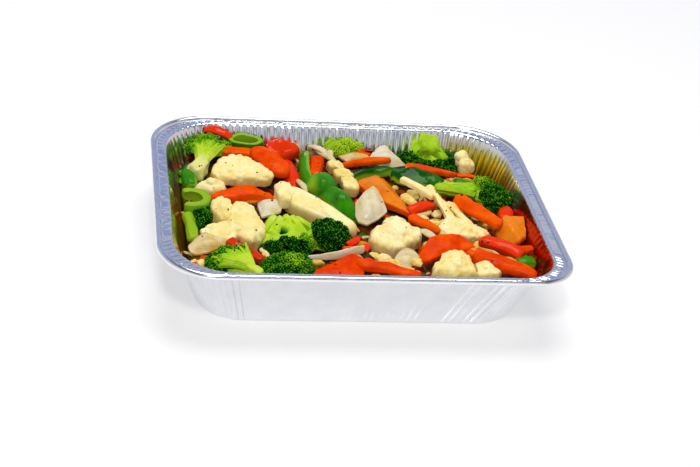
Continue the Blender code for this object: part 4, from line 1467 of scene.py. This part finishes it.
heads = [(18, -2, -2, 15, 18, 13), (9, 10, 2, 11, 10, 10)]
long_one = crown(heads, (2, 0, 0), 7, spot=(2, 10, 10, 16))
long_one += twigs(
    (-4.5, 0, 4.5), lambda y: ((-30, y, 3), (-14, y, 5), (4, y * 2, 5)), (2, 2.2, 2.8), (0.3, 0.45)
)
put("broccoli", 7, [*long_one, stalk(32, 5.5, 8, (0.36, 0.48))], -16, 0, 0, (0, 2, 0))

heads = [(-9, -1, 0, 8, 7, 6), (3, 3, 1, 8, 6, 6), (12, 1, -1, 6, 6, 5), (-2, -5, -1, 7, 4, 5)]
put("broccoli", 8, crown(heads, (0, 0, -6), 8, 2.6, 0.46, -0.3))

# %% [markdown]
# ## The bed under the heap
#
# What lies below is the same food, packed close and wet with dark red-brown juices. Only slits of it
# show between the pieces. Filling the tray with whole pieces would cost a lot for what is never seen,
# so it is the solid's own bed with a lumpy skin, coloured in cells the size of chopped vegetables in
# dark copies of their colours, which paint the shade between the pieces. Real bits are strewn over it
# in the next step. At the left wall and in the far right corner the heap has slid away, so there the
# skin sinks.

# %% Bed material
# The size of chopped vegetables, and the grain of what sticks to them.
CHOP, BED_GRAIN = 7.0, 2.2


def juicy_shaded_vegetables():
    made, tree = start(
        "juicy_shaded_vegetable_bed", Coat_Weight=0.1, Coat_Roughness=0.1, Specular_IOR_Level=0.1, Roughness=0.4
    )
    spot = add(tree, "TexCoord").outputs["Object"]
    cells = add(tree, "TexVoronoi", {"Vector": spot, "Scale": 1 / (CHOP * MM)})
    pick = add(tree, "SeparateColor", {"Color": cells.outputs["Color"]})
    # Each cell is a chopped vegetable in a dark copy of its colour: painted shade, over red-brown juices.
    reds_in_shade = ((0.0, "#2A0E04"), (0.25, "#6A1C06"), (0.45, "#96400A"))
    greens_and_shade = ((0.6, "#2E3A08"), (0.75, "#8A5E10"), (0.95, "#4A1404"))
    paint = add(tree, "ValToRGB", {"Fac": pick}, stops=reds_in_shade + greens_and_shade)
    tone = add(tree, "Attribute", attribute_name="tone").outputs["Fac"]
    oily = add(tree, "Mix", {0: tone, 6: paint, 7: "#8A7418"}, data_type="RGBA")
    grain = add(tree, "TexNoise", {"Vector": spot, "Scale": 1 / (BED_GRAIN * MM), "Detail": 3.0})
    bump = add(tree, "Bump", {"Height": grain, "Strength": 0.5, "Distance": 0.8 * MM})
    return finished(made, Base_Color=oily, Normal=bump)


BED = juicy_shaded_vegetables()

# %% Bed mesh
BED_CUTS = 5
BED_FLOOR = 6
# The skin sinks by so many millimetres, and by this share of its height at most, so that it never folds
# flat on the base.
HOLLOW, SINK = 26.0, 0.94
# Oily juices gather in a band of this width along the wall.
OILY_BAND = 8


def vegetable_bed():
    """The solid's bed, cut finer and pushed into lumps. Its tone is how oily it is."""
    shape = bmesh.new()
    shape.from_mesh(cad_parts["vegetable_bed"].data)
    bmesh.ops.remove_doubles(shape, verts=shape.verts, dist=0.01 * MM)
    bmesh.ops.triangulate(shape, faces=shape.faces)
    bmesh.ops.subdivide_edges(shape, edges=shape.edges, cuts=BED_CUTS, use_grid_fill=True)
    bmesh.ops.triangulate(shape, faces=shape.faces)
    points = np.array([vert.co for vert in shape.verts]) / MM
    faces = [[vert.index for vert in face.verts] for face in shape.faces]
    shape.free()
    lumps = np.array([noise.voronoi(Vector(point) / CHOP)[0][0] for point in points])
    upper = points[:, 2] > BED_FLOOR + 2
    points[:, 2] += np.where(upper, 1.2 - 3.2 * lumps**2, 0)
    left = ramp(points[:, 0], -128, -12)
    far = ramp(points[:, 0] + points[:, 1], 185, 20)
    sunk = np.minimum(np.maximum(left, far) * HOLLOW, SINK * (points[:, 2] - BED_FLOOR))
    points[:, 2] -= np.where(upper, sunk, 0)
    half = np.array([LENGTH / 2, WIDTH / 2]) - wall_inset(points[:, 2])[:, None]
    from_wall = (half - np.abs(points[:, :2])).min(axis=1)
    return part(kept_in_tray(points), faces, np.clip(1 - (from_wall - 4) / OILY_BAND, 0, 0.8))


bed_skin = vegetable_bed()
bed = build("juicy_shaded_bed", bed_skin, bed_skin["points"], BED)
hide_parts("vegetable_bed")
print("bed triangles:", triangles(bed))

# %% [markdown]
# ## Loose bits
#
# Cutting and stirring leave small bits everywhere: carrot chips, slivers of onion, corners of pepper
# and crumbs of curd. A particle system could scatter copies of a few bits, but all would be alike and
# some would float. Here each bit has its own shape, and each kind is one mesh. A bit is dropped at a
# random place, and it stays if the first thing below it is the bed, so that the bits fill the gaps and
# don't cover the large pieces. A few bits that lie in plain sight are listed and placed first.

# %% What lies on top at a place


def tree_of(*wholes):
    points, faces = [], []
    for whole_points, whole_faces in wholes:
        first = len(points)
        points += whole_points.tolist()
        faces += [[first + k for k in face] for face in whole_faces]
    return BVHTree.FromPolygons(points, faces)


OVER = tree_of(*[(points, faces) for points, faces, _ in SEATED.values()])
UNDER = tree_of((bed_skin["points"], bed_skin["faces"]))
ABOVE, DOWN = 90, Vector((0, 0, -1))


def top_at(x, y):
    """The height of the heap at a place, and whether it is the bed that shows there."""
    food = OVER.ray_cast(Vector((x, y, ABOVE)), DOWN)[0]
    core = UNDER.ray_cast(Vector((x, y, ABOVE)), DOWN)[0]
    if core is None:
        return None, False
    if food is None or food.z < core.z:
        return core.z, True
    return food.z, False


def laid(shape, x, y, z, turn):
    """A bit turned every way and put down at a place inside the wall."""
    points = shape["points"] @ np.array(Euler(turn).to_matrix()).T + np.array([x, y, z])
    return {**shape, "points": kept_in_tray(points)}


print("height of the heap in the middle, in millimetres:", round(top_at(0, 0)[0], 1))

# %% Bits placed one by one
# How many bits of each kind are strewn beside the others.
OFTEN = {
    "carrot": 3,
    "onion": 6,
    "red_pepper": 3,
    "green_pepper": 2,
    "orange_pepper": 1,
    "cauliflower": 5,
}
BITS = {kind: [] for kind in OFTEN}


def one_placed(kind, length, width, x, y, top, heading):
    """A bit that lies in plain sight, its top at a height."""
    seed = len(BITS[kind])
    if kind == "onion":
        shape = slab(length, width, 1.4, 25, 1, (0.4, 0.4), seed, 0.8, 5, 16)
    elif kind == "cauliflower":
        shape = lump((0, 0, 0), (length / 2, width / 2, width / 3), 3.6, 1.3, seed, 4, 0.25)
    elif kind == "carrot":
        shape = baton(length, width, width * 0.6, seed=seed, rings=16, sides=16)
    else:
        shape = slab(length, width, 2, 25, 1, (0.9, 0.6), seed, 1.2, 7, 14)
    bit = laid(shape, x, y, 0, (0.15, 0, math.radians(heading)))
    bit["points"][:, 2] += top - bit["points"][:, 2].max()
    bit["chance"] = np.full(len(bit["points"]), 0.4 + 0.15 * (seed % 5))
    BITS[kind].append(bit)


# Each bit's kind, length, width, place in plan, height of its top and heading.
for placed in (
    ("red_pepper", 16, 6, -4, -50, 46, 43),
    ("red_pepper", 15, 6, 5, -57, 44, 53),
    ("carrot", 14, 6, -7, -59, 45, 10),
    ("carrot", 20, 13, 28, 103, 49, 30),
    ("cauliflower", 14, 9, 64, 4, 44, 20),
    ("cauliflower", 12, 8, 74, 2, 44, 60),
    ("cauliflower", 12, 9, 78, -14, 44, -30),
    ("cauliflower", 16, 10, 68, -12, 43, 10),
    ("cauliflower", 13, 12, 52, 20, 48, 80),
    ("cauliflower", 26, 14, 146, 34, 41, -70),
    ("onion", 20, 5, 60, -4, 45, 24),
    ("carrot", 16, 9, 31, 104, 48, 19),
    ("onion", 23, 5, -36, 38, 48, -75),
    ("cauliflower", 20, 9, 52, 17, 49, -64),
    ("onion", 26, 4, 98, -69, 50, -31),
    ("onion", 24, 3, 105, -71, 51, -47),
    ("onion", 14, 5, 119, -77, 48, -48),
    ("carrot", 17, 5, 112, 67, 45, -9),
    ("green_pepper", 20, 9, 109, 58, 43, -17),
    ("cauliflower", 14, 9, 16, -76, 48, 2),
    ("cauliflower", 12, 9, 23, -86, 49, -26),
    ("cauliflower", 27, 12, 147, 44, 40, -84),
    ("onion", 19, 7, 58, -43, 50, -48),
    ("orange_pepper", 16, 5, -79, 9, 47, 15),
    ("cauliflower", 14, 5, -77, -72, 47, -75),
    ("cauliflower", 13, 8, 41, -83, 50, -63),
    ("cauliflower", 18, 8, 88, 6, 49, -69),
):
    one_placed(*placed)
print("bits placed by hand:", sum(len(bits) for bits in BITS.values()))

# %% Strew the other bits
DROPS, DROP_SEED = 900, 31
DROP_MARGIN = 17
# How long the bits are, and how they differ in colour.
SHORTEST, LONGEST = 7, 15
LUCK = {"onion": (0.4, 1.1), "cauliflower": (0.6, 1.3)}


def one_bit(kind, draw, size):
    """A small piece of a kind, about so many millimetres long."""
    seed = draw.randrange(1000)
    if kind == "carrot":
        return baton(size, size * 0.4, size * 0.34, seed=seed, rings=8, sides=10)
    if kind == "onion":
        bend = draw.uniform(20, 110)
        return slab(size * 1.5, size * 0.28, 1.3, bend, 0.6, (0.5, 0.5), seed, 0.5, 4, 12)
    if kind == "cauliflower":
        return lump((0, 0, 0), (size * 0.45, size * 0.38, size * 0.32), 3.2, 1.4, seed, 3)
    return slab(size, size * 0.5, 2.6, draw.uniform(10, 60), 1.5, (0.7, 0.7), seed, 0.5, 5, 10)


def random_place(draw, margin):
    x_reach, y_reach = LENGTH / 2 - margin, WIDTH / 2 - margin
    return draw.uniform(-x_reach, x_reach), draw.uniform(-y_reach, y_reach)


draw = random.Random(DROP_SEED)
for _ in range(DROPS):
    x, y = random_place(draw, DROP_MARGIN)
    kind = draw.choices(list(OFTEN), list(OFTEN.values()))[0]
    size = draw.uniform(SHORTEST, LONGEST)
    turn = (draw.uniform(-0.5, 0.5), draw.uniform(-0.35, 0.35), draw.uniform(0, 6.28))
    height, bare = top_at(x, y)
    if bare:
        bit = laid(one_bit(kind, draw, size), x, y, height + 1.0, turn)
        bit["chance"] = np.full(len(bit["points"]), draw.uniform(*LUCK.get(kind, (0, 1))))
        BITS[kind].append(bit)

for kind, bits in BITS.items():
    whole = joined(bits)
    item = build(f"{kind}_bits", whole, whole["points"], KINDS[kind])
    print(item.name, len(bits), "bits", triangles(item), "triangles")

# %% [markdown]
# ## Cracked pepper
#
# *Black peppercorn, cracked.* Angular crumbs of about a millimetre, nearly black with brown faces. Dark
# dots in the food's own materials would do from afar, but real crumbs stand up, cast tiny shadows and
# lie only where they can fall. They show most on the pale curds.

# %% Pepper crumbs
CRUMBS, CRUMB_SEED = 330, 77
CRUMB_MARGIN = 20
SMALLEST_CRUMB, CRUMB_RANGE = 0.28, 0.8
# The patches on a crumb are as wide as its faces.
CRUMB_PATCH = 0.8
# The largest ones: their place in plan and their size.
LARGE_CRUMBS = (
    (-102, -18, 1.0), (-73, 48, 0.9), (-119, 54, 0.8), (-116, 23, 0.7), (-96, -58, 0.8), (101, -50, 1.2),
    (105, -53, 1.1), (98, -44, 0.8), (74, 14, 0.6), (-19, 66, 0.8), (90, 25, 0.8),
)


def cracked_pepper():
    made, tree = start("cracked_black_pepper", Roughness=0.6)
    spot = add(tree, "TexCoord").outputs["Object"]
    patch = add(tree, "TexNoise", {"Vector": spot, "Scale": 1 / (CRUMB_PATCH * MM)})
    paint = add(tree, "ValToRGB", {"Fac": patch}, stops=((0.4, "#15100C"), (0.7, "#4A3020")))
    return finished(made, Base_Color=paint)


def crumb(draw, size, smallest, x, y, z):
    """An angular bit: a coarse ball with each corner pulled in or out by chance."""
    unit, faces = ball(1)
    shape = np.array([[draw.uniform(smallest, 1.3) for _ in range(3)] for _ in unit])
    return part(unit * shape * size + np.array([x, y, z]), faces)


def pepper_crumbs():
    draw = random.Random(CRUMB_SEED)
    parts = []
    for _ in range(CRUMBS):
        x, y = random_place(draw, CRUMB_MARGIN)
        height, bare = top_at(x, y)
        size = SMALLEST_CRUMB + CRUMB_RANGE * draw.random() ** 4
        bit = crumb(draw, size, 0.6, x, y, (height or 0) + size * 0.3)
        if height and not bare:
            parts.append(bit)
    for x, y, size in LARGE_CRUMBS:
        parts.append(crumb(draw, size, 0.5, x, y, top_at(x, y)[0] + size * 0.2))
    return joined(parts)


crumbs = pepper_crumbs()
pepper = build("pepper_crumbs", crumbs, crumbs["points"], cracked_pepper(), sharp=20)
print("pepper triangles:", triangles(pepper))

# %% [markdown]
# ## Camera, floor and light
#
# The tray is seen from in front and a little to its left, from about 30 degrees up, through a long lens
# that keeps its sides nearly parallel. The camera was set by matching the corners of the rim and the
# base.
#
# The floor is white and faintly glossy, so the tray stands in a soft shadow and a weak mirror image.
# Foil shows whatever is round it. A plain white room would make it look like white plastic, so the room
# goes from blue-grey to white in soft strips, as cloth and lamps in a studio do. Two soft boxes give
# the foil broad bright bands and the food small highlights.

# %% Camera
LENS, SENSOR = 80.54, 36
CAMERA_PLACE, CAMERA_TURN = (-219.8, -1101.5, 671.7), (59.761, -6.197, -7.814)

camera = bpy.data.objects.new("camera", bpy.data.cameras.new("camera"))
camera.data.lens = LENS
camera.data.sensor_width = SENSOR
camera.location = Vector(CAMERA_PLACE) * MM
camera.rotation_euler = [math.radians(angle) for angle in CAMERA_TURN]
bpy.context.scene.collection.objects.link(camera)
bpy.context.scene.camera = camera
print("camera", round(camera.location.length, 2), "m from the middle of the tray")

# %% Floor
FLOOR_SIZE = 12.0
# Lit from below, as a shooting table of white acrylic is.
FLOOR_GLOW = 0.42


def white_floor():
    return start(
        "white_acrylic_floor",
        Base_Color=colour("#CFCDCA"),
        Roughness=0.3,
        Specular_IOR_Level=0.6,
        Emission_Color=colour("#FFFFFF"),
        Emission_Strength=FLOOR_GLOW,
    )[0]


shape = bmesh.new()
bmesh.ops.create_grid(shape, x_segments=1, y_segments=1, size=FLOOR_SIZE / 2)
floor_mesh = bpy.data.meshes.new("floor")
shape.to_mesh(floor_mesh)
shape.free()
floor_mesh.materials.append(white_floor())
floor = bpy.data.objects.new("floor", floor_mesh)
bpy.context.scene.collection.objects.link(floor)
print("floor", FLOOR_SIZE, "m square")

# %% World
ROOM_STRENGTH = 0.64
# How closely the strips of light in front follow each other, and the slanting bands behind.
STRIP_RATE, BAND_RATE = 11.0, (16.0, 0.0, 20.0)


def studio_room():
    """Blue-grey bands behind the tray, white sides, a dim ceiling and strips of light in front."""
    world = bpy.data.worlds.new("studio")
    world.use_nodes = True
    tree = world.node_tree
    around = add(tree, "TexCoord").outputs["Generated"]
    x, y, z = add(tree, "SeparateXYZ", {0: around}).outputs
    across = add(tree, "Math", {0: x, 1: STRIP_RATE}, operation="MULTIPLY")
    wave = add(tree, "Math", {0: across}, operation="COSINE")
    strip = add(tree, "MapRange", {"Value": wave, "From Min": -0.5, "From Max": 0.5})
    near = add(tree, "Mix", {0: strip, 6: "#FFFFFF", 7: "#A4A8B4"}, data_type="RGBA")
    slant = add(tree, "VectorMath", {0: around, 1: BAND_RATE}, operation="DOT_PRODUCT")
    swing = add(tree, "Math", {0: slant}, operation="SINE")
    band = add(tree, "MapRange", {"Value": swing, "From Min": -1.0})
    cloth = add(tree, "Mix", {0: band, 6: "#8AA0EA", 7: "#F6F8FF"}, data_type="RGBA")
    behind = add(tree, "MapRange", {"Value": y, "From Min": -0.3, "From Max": 0.2})
    walls = add(tree, "Mix", {0: behind, 6: near, 7: cloth}, data_type="RGBA")
    aside = add(tree, "Math", {0: x}, operation="ABSOLUTE")
    side = add(tree, "MapRange", {"Value": aside, "From Min": 0.55, "From Max": 0.8})
    sides = add(tree, "Mix", {0: side, 6: walls, 7: "#FFFFFF"}, data_type="RGBA")
    above = add(tree, "MapRange", {"Value": z, "From Min": 0.6, "From Max": 0.85})
    room = add(tree, "Mix", {0: above, 6: sides, 7: "#4A4E5A"}, data_type="RGBA")
    link(tree, room, tree.nodes["Background"].inputs["Color"])
    tree.nodes["Background"].inputs["Strength"].default_value = ROOM_STRENGTH
    return world


bpy.context.scene.world = studio_room()
bpy.context.scene.view_settings.view_transform = "Standard"
print("world", bpy.context.scene.world.name)

# %% Soft boxes
AIM = Vector((0, 0, 0.03))


def soft_box(name, place, size, power):
    """A square light that faces the middle of the tray. Its place and size are in metres."""
    lamp = bpy.data.lights.new(name, "AREA")
    lamp.shape = "SQUARE"
    lamp.size = size
    lamp.energy = power
    item = bpy.data.objects.new(name, lamp)
    item.location = place
    item.rotation_euler = (AIM - Vector(place)).to_track_quat("-Z", "Y").to_euler()
    bpy.context.scene.collection.objects.link(item)
    print(name, "of", power, "watts")


soft_box("ceiling_box", (0.05, 0.4, 1.9), 1.2, 25)
soft_box("front_box", (-0.25, -1.0, 1.2), 0.2, 7.5)
